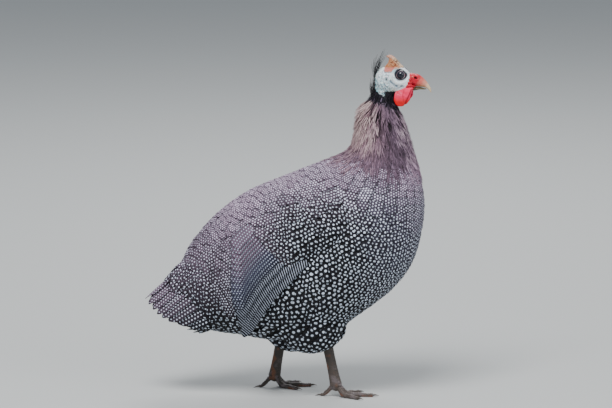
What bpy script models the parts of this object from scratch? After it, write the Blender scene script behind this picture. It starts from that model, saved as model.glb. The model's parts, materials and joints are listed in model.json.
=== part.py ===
"""A helmeted guinea fowl in mid step, life size, in metres with +Z up, facing +X.

The bird stands on the floor at Z 0. Sizes below are in millimetres and become metres in metres().
The trunk and neck are one loft along a bent line, parted with thin cuts. Whatever grows from a
piece is cut by a slightly swollen copy of it, so that the two meet face to face with a thin gap.
"""
import math

import bmesh
import bpy
from mathutils import Matrix, Vector
from mathutils.bvhtree import BVHTree

MM = 0.001
GAP = 0.3
TOUCHING = 0.0001

# Driving sizes of the bird
EYE_RADIUS = 6.7
SHANK_RADIUS = 5.9
TOE_RADIUS = 4.2
VANE_THICKNESS = 0.8
LEG_SPREAD = 34.0
HEAD_YAW = math.radians(-8.0)
HEAD_PIVOT = (128.4, 0.0, 424.3)

# Stations of the loft: back point (x, z), belly point (x, z) and half width
TRUNK = [
    ((-148, 153), (-141, 131), 8),
    ((-139, 194), (-125, 97), 33),
    ((-120, 224), (-99, 84), 50),
    ((-89, 256), (-65, 79), 65),
    ((-51, 282), (-30, 73), 77),
    ((-8, 300), (11, 70), 85),
    ((38, 318), (54, 79), 87),
    ((70, 330), (98, 108), 84),
    ((84, 340), (141, 141), 77),
    ((88, 351), (168, 176), 68.5),
    ((90, 364), (182, 220), 59),
    ((92.5, 376), (186, 261), 49),
]
NECK = [
    ((95.2, 387.3), (180.6, 298.1), 39.2),
    ((99, 397.1), (171.4, 331.8), 31),
    ((104.4, 404.7), (162.1, 363.4), 24.5),
    ((109.9, 411.3), (153.4, 386.2), 19.6),
    ((115.3, 420), (148, 400.4), 16.3),
    ((119.7, 430.8), (149.1, 412.4), 14.1),
]
HEAD = [
    ((117.7, 435.2), (118.4, 427.6), 4.4),
    ((120.6, 441.2), (122.9, 416.7), 12),
    ((126.2, 446.7), (130.6, 411.8), 15.4),
    ((134.9, 449.8), (140.4, 410.7), 16.5),
    ((145.8, 451.3), (150.1, 411.3), 16.6),
    ((155, 449.7), (158.3, 413.4), 15),
    ((162.1, 444.8), (164.3, 416.7), 12.3),
    ((166.9, 439.3), (168, 420), 9.4),
]
CASQUE = [
    ((131.6, 443.9), (156.7, 445), 7.2),
    ((131.6, 448), (156.9, 451.1), 6.9),
    ((134.2, 453.7), (153.2, 456.1), 5.1),
    ((135.2, 458.6), (149.1, 460), 3.8),
    ((135.1, 462.4), (144.5, 463.7), 2.7),
    ((134.2, 465), (139.5, 466.1), 1.4),
]
BILL_UPPER = [
    ((166, 441.3), (167.3, 423.7), 9.4),
    ((171.4, 440.9), (173.4, 423.3), 8.2),
    ((178.6, 439.1), (180, 423), 6.7),
    ((185.5, 433.7), (185.3, 422.5), 5),
    ((190.6, 427), (189.5, 420.4), 3.2),
    ((193.7, 421.1), (192.1, 417.8), 1.6),
    ((194.5, 416.1), (193.9, 415.5), 0.5),
]
BILL_LOWER = [
    ((167.1, 422.8), (166.7, 416.3), 7.8),
    ((174.1, 422.7), (174.1, 416.3), 6.7),
    ((180.6, 422.3), (180.2, 417.6), 5.2),
    ((186.5, 420.9), (185.8, 418.4), 3),
    ((188.7, 419.9), (188.3, 419.2), 0.9),
]
# Each wattle: rear point, front point, half thickness, distance from the middle plane
WATTLE = [
    ((156.7, 424.3), (170.8, 423.2), 1.3, 9.4),
    ((149.6, 420), (170.8, 420), 2, 11.3),
    ((145.4, 412.9), (168.6, 413.4), 2.5, 13.1),
    ((144.9, 405.8), (165.8, 406.4), 2.3, 13.5),
    ((148, 399.9), (160.6, 399.9), 1.4, 12.8),
    ((151.9, 397.8), (156.5, 397.8), 0.7, 12.2),
]
TAIL_CORE = [
    ((-113, 203), (-95, 93), 41),
    ((-135, 181), (-116, 89), 36),
    ((-151, 166), (-135, 91), 28),
    ((-166, 151), (-153, 97), 17),
    ((-177, 140), (-170, 108), 8),
]
# Tail feathers from the middle one outwards: root (x, y, z) and tip (x, y, z)
TAIL_FEATHERS = [
    ((-122, 0, 187), (-194.5, 0, 127)),
    ((-122, 11, 184), (-191, 8, 122)),
    ((-121, 20, 176), (-186, 14, 115)),
    ((-119, 27, 165), (-180, 19.5, 109.5)),
    ((-116, 32, 152), (-172, 24, 104)),
    ((-112, 35, 138), (-162, 27.5, 98.5)),
    ((-108, 36.5, 124), (-150, 30, 93)),
    ((-104, 37, 111), (-136, 31.5, 89)),
]
TAIL_FEATHER_WIDTH = 17.0
TAIL_FEATHER_TILT = 0.14

# Curves that the wing's feathers follow, root to tip, as (x, z) seen from the side
WING_LOWEST = [(84, 226), (24, 204), (-34, 160), (-60, 84)]
WING_HIGHEST = [(64, 290), (-14, 284), (-70, 256), (-90, 204)]
# How far from the middle plane the wing stays where it passes beyond the trunk
WING_KEEPS_OUT = 50.0
WING_PAD_LIFT = 3.8
WING_ROOT_LIFT = 1.8
# Wing tiers: feathers, start and end along the curves, width, lift off the body
WING_TIERS = [
    (10, 0.34, 1.00, 21.0, 3.0),
    (8, 0.18, 0.72, 24.0, 6.4),
    (7, 0.04, 0.44, 25.0, 9.4),
]
WING_FEATHER_TILT = 2.4


def metres(x, y, z):
    """A point given in millimetres, as a vector in metres."""
    return Vector((x, y, z)) * MM


def clear_scene():
    """Removes whatever the file holds before the bird is built."""
    for thing in list(bpy.data.objects):
        bpy.data.objects.remove(thing, do_unlink=True)


def collection(name, shown=True):
    """A collection in the scene; cutters go in one that is not shown."""
    made = bpy.data.collections.new(name)
    bpy.context.scene.collection.children.link(made)
    made.hide_render = not shown
    return made


def finish_of(name, colour, roughness):
    """A Principled material of one colour."""
    made = bpy.data.materials.get(name) or bpy.data.materials.new(name)
    made.use_nodes = True
    surface = made.node_tree.nodes["Principled BSDF"]
    surface.inputs["Base Color"].default_value = (*colour, 1.0)
    surface.inputs["Roughness"].default_value = roughness
    surface.inputs["Metallic"].default_value = 0.0
    return made


FINISHES = {
    "plumage": ((0.075, 0.072, 0.085), 0.75),
    "neck_plumage": ((0.26, 0.21, 0.23), 0.85),
    "bare_skin": ((0.62, 0.74, 0.76), 0.55),
    "casque_horn": ((0.62, 0.36, 0.19), 0.5),
    "red_skin": ((0.75, 0.05, 0.045), 0.4),
    "bill_horn": ((0.72, 0.22, 0.14), 0.4),
    "eye_gloss": ((0.03, 0.02, 0.02), 0.08),
    "leg_scale": ((0.10, 0.08, 0.075), 0.6),
    "claw_horn": ((0.08, 0.06, 0.05), 0.4),
}


def add_object(name, mesh, where, finish=None):
    """A mesh as a named object in a collection, with its finish."""
    made = bpy.data.objects.new(name, mesh)
    where.objects.link(made)
    if finish:
        mesh.materials.clear()
        mesh.materials.append(finish_of(finish, *FINISHES[finish]))
    return made


def mesh_of(name, bm):
    """A mesh from a bmesh, welded, with its faces turned out."""
    bmesh.ops.remove_doubles(bm, verts=bm.verts, dist=TOUCHING * MM)
    bmesh.ops.recalc_face_normals(bm, faces=bm.faces)
    mesh = bpy.data.meshes.new(name)
    bm.to_mesh(mesh)
    bm.free()
    mesh.shade_smooth()
    mesh.set_sharp_from_angle(angle=math.radians(50))
    return mesh


def catmull(points, at):
    """A smooth curve through equally spaced points, at a place from 0 to len - 1."""
    last = len(points) - 1
    i = min(int(at), last - 1)
    f = at - i
    before, a = points[max(i - 1, 0)], points[i]
    b, after = points[i + 1], points[min(i + 2, last)]
    return [
        0.5 * (2 * q + (r - p) * f + (2 * p - 5 * q + 4 * r - s) * f ** 2
               + (3 * q - p - 3 * r + s) * f ** 3)
        for p, q, r, s in zip(before, a, b, after)
    ]


def station(rows, at):
    """One loft station between the listed ones: (back x, z, belly x, z, half width, side)."""
    flat = [[*back, *belly, *more, 0.0][:6] for back, belly, *more in rows]
    return catmull(flat, at)


def ring(row, segments, low_bias=0.0, swell=0.0):
    """The points of one station: an oval that low_bias makes wider below its middle."""
    bx, bz, vx, vz, half, side = row
    cx, cz = (bx + vx) / 2, (bz + vz) / 2
    ax, az = (bx - vx) / 2, (bz - vz) / 2
    grow = 1 + swell / max(math.hypot(ax, az), 0.1)
    points = []
    for k in range(segments):
        turn = 2 * math.pi * k / segments
        up = math.cos(turn) * grow
        out = math.sin(turn) * (1 - low_bias * math.cos(turn)) * (half + swell)
        points.append(metres(cx + ax * up, side + out, cz + az * up))
    return points


def loft(name, rows, rings, segments, low_bias=0.0, first=0.0, last=None, shape=None):
    """A closed loft through the stations from first to last. shape may move each ring's points."""
    last = len(rows) - 1 if last is None else last
    bm = bmesh.new()
    loops = []
    for i in range(rings):
        along = i / (rings - 1)
        row = station(rows, first + (last - first) * along)
        points = ring(row, segments, low_bias)
        if shape:
            points = [shape(p, along, k / segments) for k, p in enumerate(points)]
        loops.append([bm.verts.new(p) for p in points])
    for a, b in zip(loops, loops[1:]):
        for k in range(segments):
            n = (k + 1) % segments
            bm.faces.new((a[k], a[n], b[n], b[k]))
    for loop, inward in ((loops[0], 1), (loops[-1], -1)):
        middle = bm.verts.new(sum((v.co for v in loop), Vector()) / segments)
        for k in range(segments):
            pair = (loop[k], loop[(k + 1) % segments])[::inward]
            bm.faces.new((*pair, middle))
    return mesh_of(name, bm)


def tube(name, path, radii, segments, flat=1.0):
    """A closed tube along points in millimetres, each with its radius; flat squashes its height."""
    bm = bmesh.new()
    loops = []
    points = [Vector(p) for p in path]
    for i, (p, r) in enumerate(zip(points, radii)):
        ahead = (points[min(i + 1, len(points) - 1)] - points[max(i - 1, 0)]).normalized()
        side = ahead.cross(Vector((0, 0, 1)))
        if side.length < 0.2:
            side = Vector((0, 1, 0))
        side.normalize()
        up = side.cross(ahead)
        loops.append([
            bm.verts.new((p + r * (math.cos(t) * side + math.sin(t) * flat * up)) * MM)
            for t in (2 * math.pi * k / segments for k in range(segments))
        ])
    for a, b in zip(loops, loops[1:]):
        for k in range(segments):
            n = (k + 1) % segments
            bm.faces.new((a[k], a[n], b[n], b[k]))
    bm.faces.new(loops[0][::-1])
    bm.faces.new(loops[-1])
    return mesh_of(name, bm)


def ball(name, centre, radii, segments=20, rings=12):
    """An ellipsoid with its centre and three radii in millimetres."""
    bm = bmesh.new()
    bmesh.ops.create_uvsphere(bm, u_segments=segments, v_segments=rings, radius=1.0)
    bmesh.ops.scale(bm, vec=Vector(radii) * MM, verts=bm.verts)
    bmesh.ops.translate(bm, vec=metres(*centre), verts=bm.verts)
    return mesh_of(name, bm)


def swollen(mesh, by=GAP):
    """A copy of a mesh moved out along its normals, in millimetres, as a cutter."""
    copy = mesh.copy()
    normals = [v.normal.copy() for v in copy.vertices]
    for vertex, normal in zip(copy.vertices, normals):
        vertex.co += normal * by * MM
    return copy


def biggest_shell(mesh):
    """Leaves only the closed surface that spans the largest volume."""
    bm = bmesh.new()
    bm.from_mesh(mesh)
    bm.faces.ensure_lookup_table()
    left, shells = set(bm.faces), []
    while left:
        todo = [left.pop()]
        shell = set(todo)
        while todo:
            for edge in todo.pop().edges:
                near = [f for f in edge.link_faces if f in left]
                left.difference_update(near)
                shell.update(near)
                todo.extend(near)
        shells.append(shell)

    def span(shell):
        return abs(sum(
            f.calc_area() * f.normal.dot(f.calc_center_median()) for f in shell))

    kept = max(shells, key=span)
    bmesh.ops.delete(bm, geom=[f for f in bm.faces if f not in kept], context="FACES")
    bm.to_mesh(mesh)
    bm.free()
    return mesh


def combine(base, others, operation, solver="EXACT"):
    """One Boolean between a mesh and a collection of meshes, applied; returns a new mesh."""
    group = collection("helpers", shown=False)
    first = add_object("base", base, bpy.context.scene.collection)
    helpers = [add_object(f"helper_{i}", m, group) for i, m in enumerate(others)]
    for helper in helpers:
        helper.display_type = "WIRE"
        helper.hide_render = True
    step = first.modifiers.new(operation.title(), "BOOLEAN")
    step.operation = operation
    step.operand_type = "COLLECTION"
    step.collection = group
    step.solver = solver
    graph = bpy.context.evaluated_depsgraph_get()
    made = bpy.data.meshes.new_from_object(first.evaluated_get(graph))
    for thing in (first, *helpers):
        bpy.data.objects.remove(thing)
    bpy.data.collections.remove(group)
    return biggest_shell(made)


def fuse(core, pieces, solver="MANIFOLD"):
    """Joins pieces to the core that they grow from."""
    return combine(core, pieces, "UNION", solver)


def cut(mesh, *cutters):
    """Cuts a mesh by each cutter in turn."""
    for cutter in cutters:
        mesh = combine(mesh, [cutter], "DIFFERENCE", "MANIFOLD")
    return mesh


def slab_below(level, size=600.0):
    """A block whose top face is at this height, in millimetres."""
    bm = bmesh.new()
    bmesh.ops.create_cube(bm, size=1.0)
    bmesh.ops.scale(bm, vec=Vector((size, size, 100)) * MM, verts=bm.verts)
    bmesh.ops.translate(bm, vec=metres(0, 0, level - 50), verts=bm.verts)
    return mesh_of("slab", bm)


def mirrored(mesh, name):
    """The same mesh for the other side of the bird."""
    copy = mesh.copy()
    copy.name = name
    copy.transform(Matrix.Diagonal((1, -1, 1, 1)))
    copy.flip_normals()
    return copy


def turned_head(mesh):
    """Turns a piece of the head about the neck, towards the bird's right."""
    pivot = metres(*HEAD_PIVOT)
    mesh.transform(
        Matrix.Translation(pivot) @ Matrix.Rotation(HEAD_YAW, 4, "Z") @ Matrix.Translation(-pivot))
    return mesh


class SideOfBody:
    """Finds how far out the trunk's right side lies at a place seen from the side."""

    def __init__(self, mesh):
        bm = bmesh.new()
        bm.from_mesh(mesh)
        self.tree = BVHTree.FromBMesh(bm)
        bm.free()

    def out(self, x, z, lift):
        """The distance from the middle plane, in millimetres, lift clear of the trunk."""
        start = metres(x, -300, z)
        hit, normal, _, _ = self.tree.ray_cast(start, Vector((0, 1, 0)))
        keep = WING_KEEPS_OUT * (1 - 0.35 * abs(x - 20) / 130)
        if hit is None:
            return keep + lift
        slant = max(abs(normal.y), 0.45)
        return max(-hit.y / MM + lift / slant, keep + lift)


def bezier(points, t):
    """A cubic curve's point at t."""
    s = 1 - t
    weights = (s ** 3, 3 * s * s * t, 3 * s * t * t, t ** 3)
    return tuple(sum(w * p[i] for w, p in zip(weights, points)) for i in range(len(points[0])))


def vane_outline(t):
    """How wide a feather is along its length, as a share of its full width."""
    if t > 0.8:
        return max(0.3, math.sqrt(1 - ((t - 0.8) / 0.2) ** 2))
    return 0.4 + 0.6 * math.sin(min(t / 0.4, 1.0) * math.pi / 2)


VANE_STEPS = (0.0, 0.4, 0.8, 0.94, 1.0)


def vane(name, point_at):
    """A thin feather from point_at(t, across), which runs from -1 to 1 across it."""
    bm = bmesh.new()
    columns = (-1.0, 0.0, 1.0)
    rows = [[bm.verts.new(point_at(t, c)) for c in columns] for t in VANE_STEPS]
    for a, b in zip(rows, rows[1:]):
        for k in range(2):
            bm.faces.new((a[k], a[k + 1], b[k + 1], b[k]))
    bmesh.ops.triangulate(bm, faces=bm.faces, quad_method="FIXED")
    sheet = bpy.data.meshes.new(name)
    bm.to_mesh(sheet)
    bm.free()
    carrier = add_object(name, sheet, bpy.context.scene.collection)
    thick = carrier.modifiers.new("Thickness", "SOLIDIFY")
    thick.thickness = VANE_THICKNESS * MM
    thick.offset = 0.0
    graph = bpy.context.evaluated_depsgraph_get()
    made = bpy.data.meshes.new_from_object(carrier.evaluated_get(graph))
    bpy.data.objects.remove(carrier)
    bm = bmesh.new()
    bm.from_mesh(made)
    return mesh_of(name, bm)


def wing_curve(share, t):
    """A place on the wing: share runs from the lowest feather to the highest, t root to tip."""
    guides = [
        tuple(a + (b - a) * share for a, b in zip(low, high))
        for low, high in zip(WING_LOWEST, WING_HIGHEST)
    ]
    return bezier(guides, t)


def wing_vane(side, share, start, end, width, lift, tilt):
    """One wing feather lying on the side of the trunk, tilted so that it laps the one below."""

    def point_at(t, across):
        along = start + (end - start) * t
        x, z = wing_curve(share, along)
        ax, az = wing_curve(share, min(along + 0.01, 1.01))
        run = Vector((ax - x, 0, az - z)).normalized()
        up = Vector((-run.z, 0, run.x)) * -1
        reach = across * width / 2 * vane_outline(t)
        px, pz = x + up.x * reach, z + up.z * reach
        sink = (lift - WING_ROOT_LIFT) * max(0.0, 1 - t / 0.4)
        return metres(px, -side.out(px, pz, lift - tilt * reach - sink), pz)

    return vane("vane", point_at)


def wing_pad(side):
    """The fleshy part of the folded wing under the coverts, as a thick patch on the trunk."""
    bm = bmesh.new()
    across_steps, along_steps = 9, 7
    layers = []
    for height in (-3.0, 1.0):
        rows = []
        for i in range(across_steps + 1):
            share = i / across_steps
            row = []
            for j in range(along_steps + 1):
                t = j / along_steps
                front = -0.05 + 0.13 * (2 * share - 1) ** 2
                x, z = wing_curve(share, front + (0.56 - front) * t)
                rim = min(share, 1 - share, t, 1 - t)
                full = min(1.0, rim / 0.25)
                lift = height if height < 0 else 0.8 + (WING_PAD_LIFT - 0.8) * math.sin(full * math.pi / 2)
                row.append(bm.verts.new(metres(x, -side.out(x, z, lift), z)))
            rows.append(row)
        layers.append(rows)
    lower, upper = layers
    for rows in layers:
        for a, b in zip(rows, rows[1:]):
            for k in range(along_steps):
                bm.faces.new((a[k], a[k + 1], b[k + 1], b[k]))
    rim_of = [
        ([r[0] for r in rows], [r[-1] for r in rows], rows[0], rows[-1]) for rows in layers]
    for low_edge, high_edge in zip(*rim_of):
        for k in range(len(low_edge) - 1):
            bm.faces.new((low_edge[k], low_edge[k + 1], high_edge[k + 1], high_edge[k]))
    return mesh_of("pad", bm)


def make_wing(trunk):
    """The right wing: a pad with tiers of overlapping feathers, cut clear of the trunk."""
    side = SideOfBody(trunk)
    vanes = []
    for count, start, end, width, lift in WING_TIERS:
        tilt = WING_FEATHER_TILT / width
        for i in range(count):
            share = i / (count - 1)
            vanes.append(wing_vane(side, share, start, end, width, lift, tilt))
    wing = fuse(wing_pad(side), vanes)
    return cut(wing, swollen(trunk))


def tail_guide(place):
    """Root and tip of a tail feather, also between or beyond the listed ones."""
    last = len(TAIL_FEATHERS) - 1
    i = max(0, min(int(place), last - 1))
    f = place - i
    return [
        Vector(a).lerp(Vector(b), f) if 0 <= f <= 1 else Vector(a) + (Vector(b) - Vector(a)) * f
        for a, b in zip(TAIL_FEATHERS[i], TAIL_FEATHERS[i + 1])
    ]


def tail_vane(place, sign):
    """One tail feather; the middle one lies over its neighbours, each of which laps the next."""
    root, tip = tail_guide(place)
    near_root, near_tip = tail_guide(place + 0.5)
    run = (tip - root).normalized()
    cross = ((near_root - root) + (near_tip - tip)) / 2
    cross = (cross - run * cross.dot(run)).normalized()
    out = cross.cross(run)
    middle = place == 0
    if middle:
        cross, out = Vector((0, 1, 0)), Vector((0, 1, 0)).cross(run)

    def point_at(t, across):
        wide = across * TAIL_FEATHER_WIDTH / 2 * vane_outline(t)
        bow = 3.5 * math.sin(math.pi * t) - 5.0 * (1 - t) ** 2
        height = 1.8 - 0.02 * wide * wide if middle else TAIL_FEATHER_TILT * wide
        q = root + (tip - root) * t + cross * wide + out * (bow + height)
        return metres(q.x, q.y * sign, q.z)

    return vane("tail_feather", point_at)


def make_tail(trunk):
    """The drooping tail: a core with a roof of flight feathers, cut clear of the trunk."""
    vanes = [tail_vane(0, 1)]
    for sign in (-1, 1):
        for place in range(1, len(TAIL_FEATHERS)):
            vanes.append(tail_vane(place, sign))
    core = loft("core", TAIL_CORE, 8, 14)
    tail = fuse(core, vanes)
    return cut(tail, swollen(trunk))


def eye_place(side):
    return (155.0, side * 10.3, 440.6)


def make_head():
    """The bare head with sunken eyes, lids, ear openings and the flat where the bill starts."""
    head = loft("head", HEAD, 13, 20, low_bias=0.06)
    lids = []
    for side in (-1, 1):
        bm = bmesh.new()
        segments, tube_segments = 16, 6
        x, _, z = eye_place(side)
        for i in range(segments):
            turn = 2 * math.pi * i / segments
            for k in range(tube_segments):
                fold = 2 * math.pi * k / tube_segments
                wide = 6.0 + 1.35 * math.cos(fold)
                bm.verts.new(metres(
                    x + wide * math.cos(turn) * 1.05,
                    side * (14.0 - 0.45 * math.cos(turn) + 1.35 * math.sin(fold)),
                    z + wide * math.sin(turn) * 0.95,
                ))
        bm.verts.ensure_lookup_table()
        for i in range(segments):
            for k in range(tube_segments):
                a, b = i * tube_segments, ((i + 1) % segments) * tube_segments
                n = (k + 1) % tube_segments
                bm.faces.new([bm.verts[j] for j in (a + k, a + n, b + n, b + k)])
        lids.append(mesh_of("lids", bm))
    head = fuse(head, lids)
    for side in (-1, 1):
        socket = ball("socket", eye_place(side), [EYE_RADIUS + GAP] * 3, 14, 10)
        ear = ball("ear", (135.6, side * 17.4, 434.0), (2.2, 3.7, 2.8), 10, 7)
        head = cut(head, socket, ear)
    return head


def make_leg(hock, ankle, thigh_centre, thigh_radii, trunk):
    """A feathered thigh and a scaled shank from the hock to the ankle."""
    thigh = ball("thigh", thigh_centre, thigh_radii, 18, 12)
    thigh = cut(thigh, swollen(trunk))
    steps = 9
    path, radii = [], []
    for i in range(steps):
        for edge in (0.0, 0.8):
            t = (i + edge) / steps
            path.append([a + (b - a) * t for a, b in zip(hock, ankle)])
            waist = 1 + 0.22 * (2 * t - 1) ** 2
            radii.append(SHANK_RADIUS * waist * (1.05 if edge else 0.98))
    shank = tube("shank", path, radii, 10)
    return thigh, shank


def toe_path(ankle, heading, length, drop_share, hind=False):
    """A toe's middle line: down from the ankle and then flat along the floor."""
    x, y, z = ankle
    path, radii = [], []
    steps = 8
    for i in range(steps):
        t = i / (steps - 1)
        r = TOE_RADIUS * (1 - 0.42 * t) * (1 + 0.07 * math.cos(6 * math.pi * t))
        if hind:
            r *= 0.8
        down = min(t / drop_share, 1.0)
        fall = 0.5 - 0.5 * math.cos(math.pi * down)
        floor = r - 0.45 + (3.2 * (1 - t) if hind else 0.0)
        path.append((
            x + math.cos(heading) * length * t,
            y + math.sin(heading) * length * t,
            z + (floor - z) * fall,
        ))
        radii.append(r)
    return path, radii


def make_foot(ankle, turn_in, side):
    """Four toes joined at the ankle, flat below, and a claw for each toe."""
    toes, claws = [], {}
    x, y, z = ankle
    plan = {
        "middle": (0.0, 50.0, 0.34, False),
        "inner": (math.radians(38) * -side, 38.0, 0.42, False),
        "outer": (math.radians(36) * side, 39.0, 0.42, False),
        "hind": (math.radians(172) * -side, 21.0, 0.9, True),
    }
    for name, (heading, length, drop, hind) in plan.items():
        path, radii = toe_path(ankle, heading + turn_in, length, drop, hind)
        toes.append(tube("toe", path, radii, 8))
        end, before = Vector(path[-1]), Vector(path[-2])
        run = (end - before).normalized()
        r = radii[-1]
        claw_line, claw_radii = [], []
        for i in range(6):
            t = i / 5
            arch = Vector((0, 0, 0.9 * math.sin(math.pi * t) - 0.55 * t))
            claw_line.append(end + run * (9.5 * t - 1.2) + arch)
            claw_radii.append(max(0.35, r * 0.72 * (1 - t ** 1.4)))
        claws[name] = tube("claw", claw_line, claw_radii, 6)
    knuckle = ball("knuckle", (x, y, z), (7.4, 7.8, 7.2), 12, 8)
    foot = fuse(knuckle, toes)
    return foot, claws


def build():
    clear_scene()
    bird = collection("guinea_fowl")

    whole = TRUNK + NECK
    last_trunk, last_neck = len(TRUNK) - 1, len(whole) - 1
    trunk = loft("trunk", whole, 24, 28, 0.10, 0.0, last_trunk - 0.01)
    neck = loft("neck", whole, 9, 22, 0.10, last_trunk + 0.01, last_trunk + 4.49)
    throat = loft("throat", whole, 5, 16, 0.05, last_trunk + 4.51, last_neck)

    head = turned_head(make_head())
    add_object("torso", trunk, bird, "plumage")
    throat = cut(throat, swollen(head))
    add_object("neck", neck, bird, "neck_plumage")
    add_object("throat", throat, bird, "bare_skin")
    add_object("head", head, bird, "bare_skin")

    casque = turned_head(loft("casque", CASQUE, 9, 12))
    add_object("casque", cut(casque, swollen(head)), bird, "casque_horn")
    upper = loft("bill_upper", BILL_UPPER, 11, 12)
    for side in (-1, 1):
        upper = cut(upper, ball("nostril", (175.3, side * 7.4, 436.4), (2.2, 2.9, 1.4), 10, 7))
    upper = turned_head(upper)
    lower = turned_head(loft("bill_lower", BILL_LOWER, 7, 10))
    add_object("bill_upper", cut(upper, swollen(head)), bird, "bill_horn")
    add_object("bill_lower", cut(lower, swollen(head)), bird, "bill_horn")
    for side, hand in ((-1, "right"), (1, "left")):
        eye = ball("eye", eye_place(side), [EYE_RADIUS] * 3, 14, 10)
        add_object(f"eye_{hand}", turned_head(eye), bird, "eye_gloss")
        rows = [(rear, front, half, side * out) for rear, front, half, out in WATTLE]
        wattle = turned_head(loft("wattle", rows, 9, 12))
        wattle = cut(wattle, swollen(head), swollen(throat), swollen(neck))
        add_object(f"wattle_{hand}", wattle, bird, "red_skin")

    tail = make_tail(trunk)
    add_object("tail", tail, bird, "plumage")
    wing = make_wing(trunk)
    wing = cut(wing, swollen(tail))
    add_object("wing_right", wing, bird, "plumage")
    add_object("wing_left", mirrored(wing, "wing_left"), bird, "plumage")

    legs = {
        "right": (-1, (51, -LEG_SPREAD, 84), (65.5, -LEG_SPREAD, 15), (46, -36, 103), (44, 28, 41)),
        "left": (1, (-7, LEG_SPREAD, 82), (-18.7, LEG_SPREAD, 15), (8, 36, 96), (46, 28, 47)),
    }
    for hand, (side, hock, ankle, centre, radii) in legs.items():
        thigh, shank = make_leg(hock, ankle, centre, radii, trunk)
        foot, claws = make_foot(ankle, math.radians(3) * side, side)
        foot = cut(foot, slab_below(0.0))
        add_object(f"thigh_{hand}", thigh, bird, "plumage")
        add_object(f"shank_{hand}", cut(shank, swollen(thigh), swollen(foot)), bird, "leg_scale")
        add_object(f"foot_{hand}", foot, bird, "leg_scale")
        for toe, claw in claws.items():
            claw = cut(claw, swollen(foot), slab_below(0.0))
            add_object(f"claw_{toe}_{hand}", claw, bird, "claw_horn")


build()
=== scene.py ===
# %% [markdown]
# # Dressing a helmeted guinea fowl
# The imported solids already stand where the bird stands. This lesson dresses them: a skin, some
# thousands of real mesh feathers laid over it, long wing and tail feathers, a bare wrinkled head,
# horn, wattles and scaled legs. Sizes are in millimetres and become metres when a mesh is made.

# %% Load the frame
import json
import math

import bmesh
import bpy
import numpy as np
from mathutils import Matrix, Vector, noise
from mathutils.bvhtree import BVHTree
from mathutils.kdtree import KDTree

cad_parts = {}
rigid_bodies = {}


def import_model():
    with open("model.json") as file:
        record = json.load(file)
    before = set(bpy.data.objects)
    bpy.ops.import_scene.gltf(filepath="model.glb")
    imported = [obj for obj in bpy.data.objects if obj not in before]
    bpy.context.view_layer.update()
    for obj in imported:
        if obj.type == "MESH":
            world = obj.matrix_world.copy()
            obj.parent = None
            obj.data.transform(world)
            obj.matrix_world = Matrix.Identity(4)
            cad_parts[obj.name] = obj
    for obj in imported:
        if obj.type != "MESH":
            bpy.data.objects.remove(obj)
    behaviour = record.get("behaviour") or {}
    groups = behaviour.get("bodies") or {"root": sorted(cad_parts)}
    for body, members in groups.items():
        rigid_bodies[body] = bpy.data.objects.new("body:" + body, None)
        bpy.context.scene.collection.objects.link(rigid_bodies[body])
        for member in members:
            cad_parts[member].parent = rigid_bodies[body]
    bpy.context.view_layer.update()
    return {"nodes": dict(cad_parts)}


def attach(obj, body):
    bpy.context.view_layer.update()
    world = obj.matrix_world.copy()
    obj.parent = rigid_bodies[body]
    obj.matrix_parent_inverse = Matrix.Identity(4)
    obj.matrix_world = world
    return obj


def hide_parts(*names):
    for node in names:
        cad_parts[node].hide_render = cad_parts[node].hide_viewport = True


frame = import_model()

SOLIDS = frame["nodes"]
MM = 0.001
rng = np.random.default_rng(7)

# %% [markdown]
# ## The view
# The photograph was taken from far off with a long lens, a little above the bird's back and
# straight at its right side. A long lens keeps near and far legs the same size. The picture is
# 612 by 408, and one pixel is 1.36 mm on the bird, which fixes the distance for a 600 mm lens.

# %% Camera
PICTURE_WIDTH, PIXEL = 612, 1.36
CAMERA_RISE = math.radians(10)
LENS, SENSOR = 600.0, 36.0
aim = Vector((0.0245, 0.0, 0.260))
distance = PICTURE_WIDTH * PIXEL * MM * LENS / SENSOR


def stand(name, data):
    """A new object in the scene, made of a mesh, a lamp or a camera."""
    made = bpy.data.objects.new(name, data)
    bpy.context.scene.collection.objects.link(made)
    return made


camera = stand("camera", bpy.data.cameras.new("camera"))
camera.data.lens, camera.data.sensor_width = LENS, SENSOR
camera.data.clip_end = 120
camera.location = aim + distance * Vector((0, -math.cos(CAMERA_RISE), math.sin(CAMERA_RISE)))
camera.rotation_euler = (math.radians(90) - CAMERA_RISE, 0, 0)
bpy.context.scene.camera = camera
print("the camera stands", round(distance, 2), "m away")

# %% [markdown]
# ## Small tools
# A finish is a chain of nodes, and a piece is a mesh that rides on the bird. These helpers keep
# the steps below short: one adds a node and plugs in what it is given, one hangs a mesh on the
# root body and hides the solids that it stands for.

# %% Helper for finishes
def rgba(value):
    """A full colour from one grey value or from three."""
    return (*np.broadcast_to(value, 3), 1.0)


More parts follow.
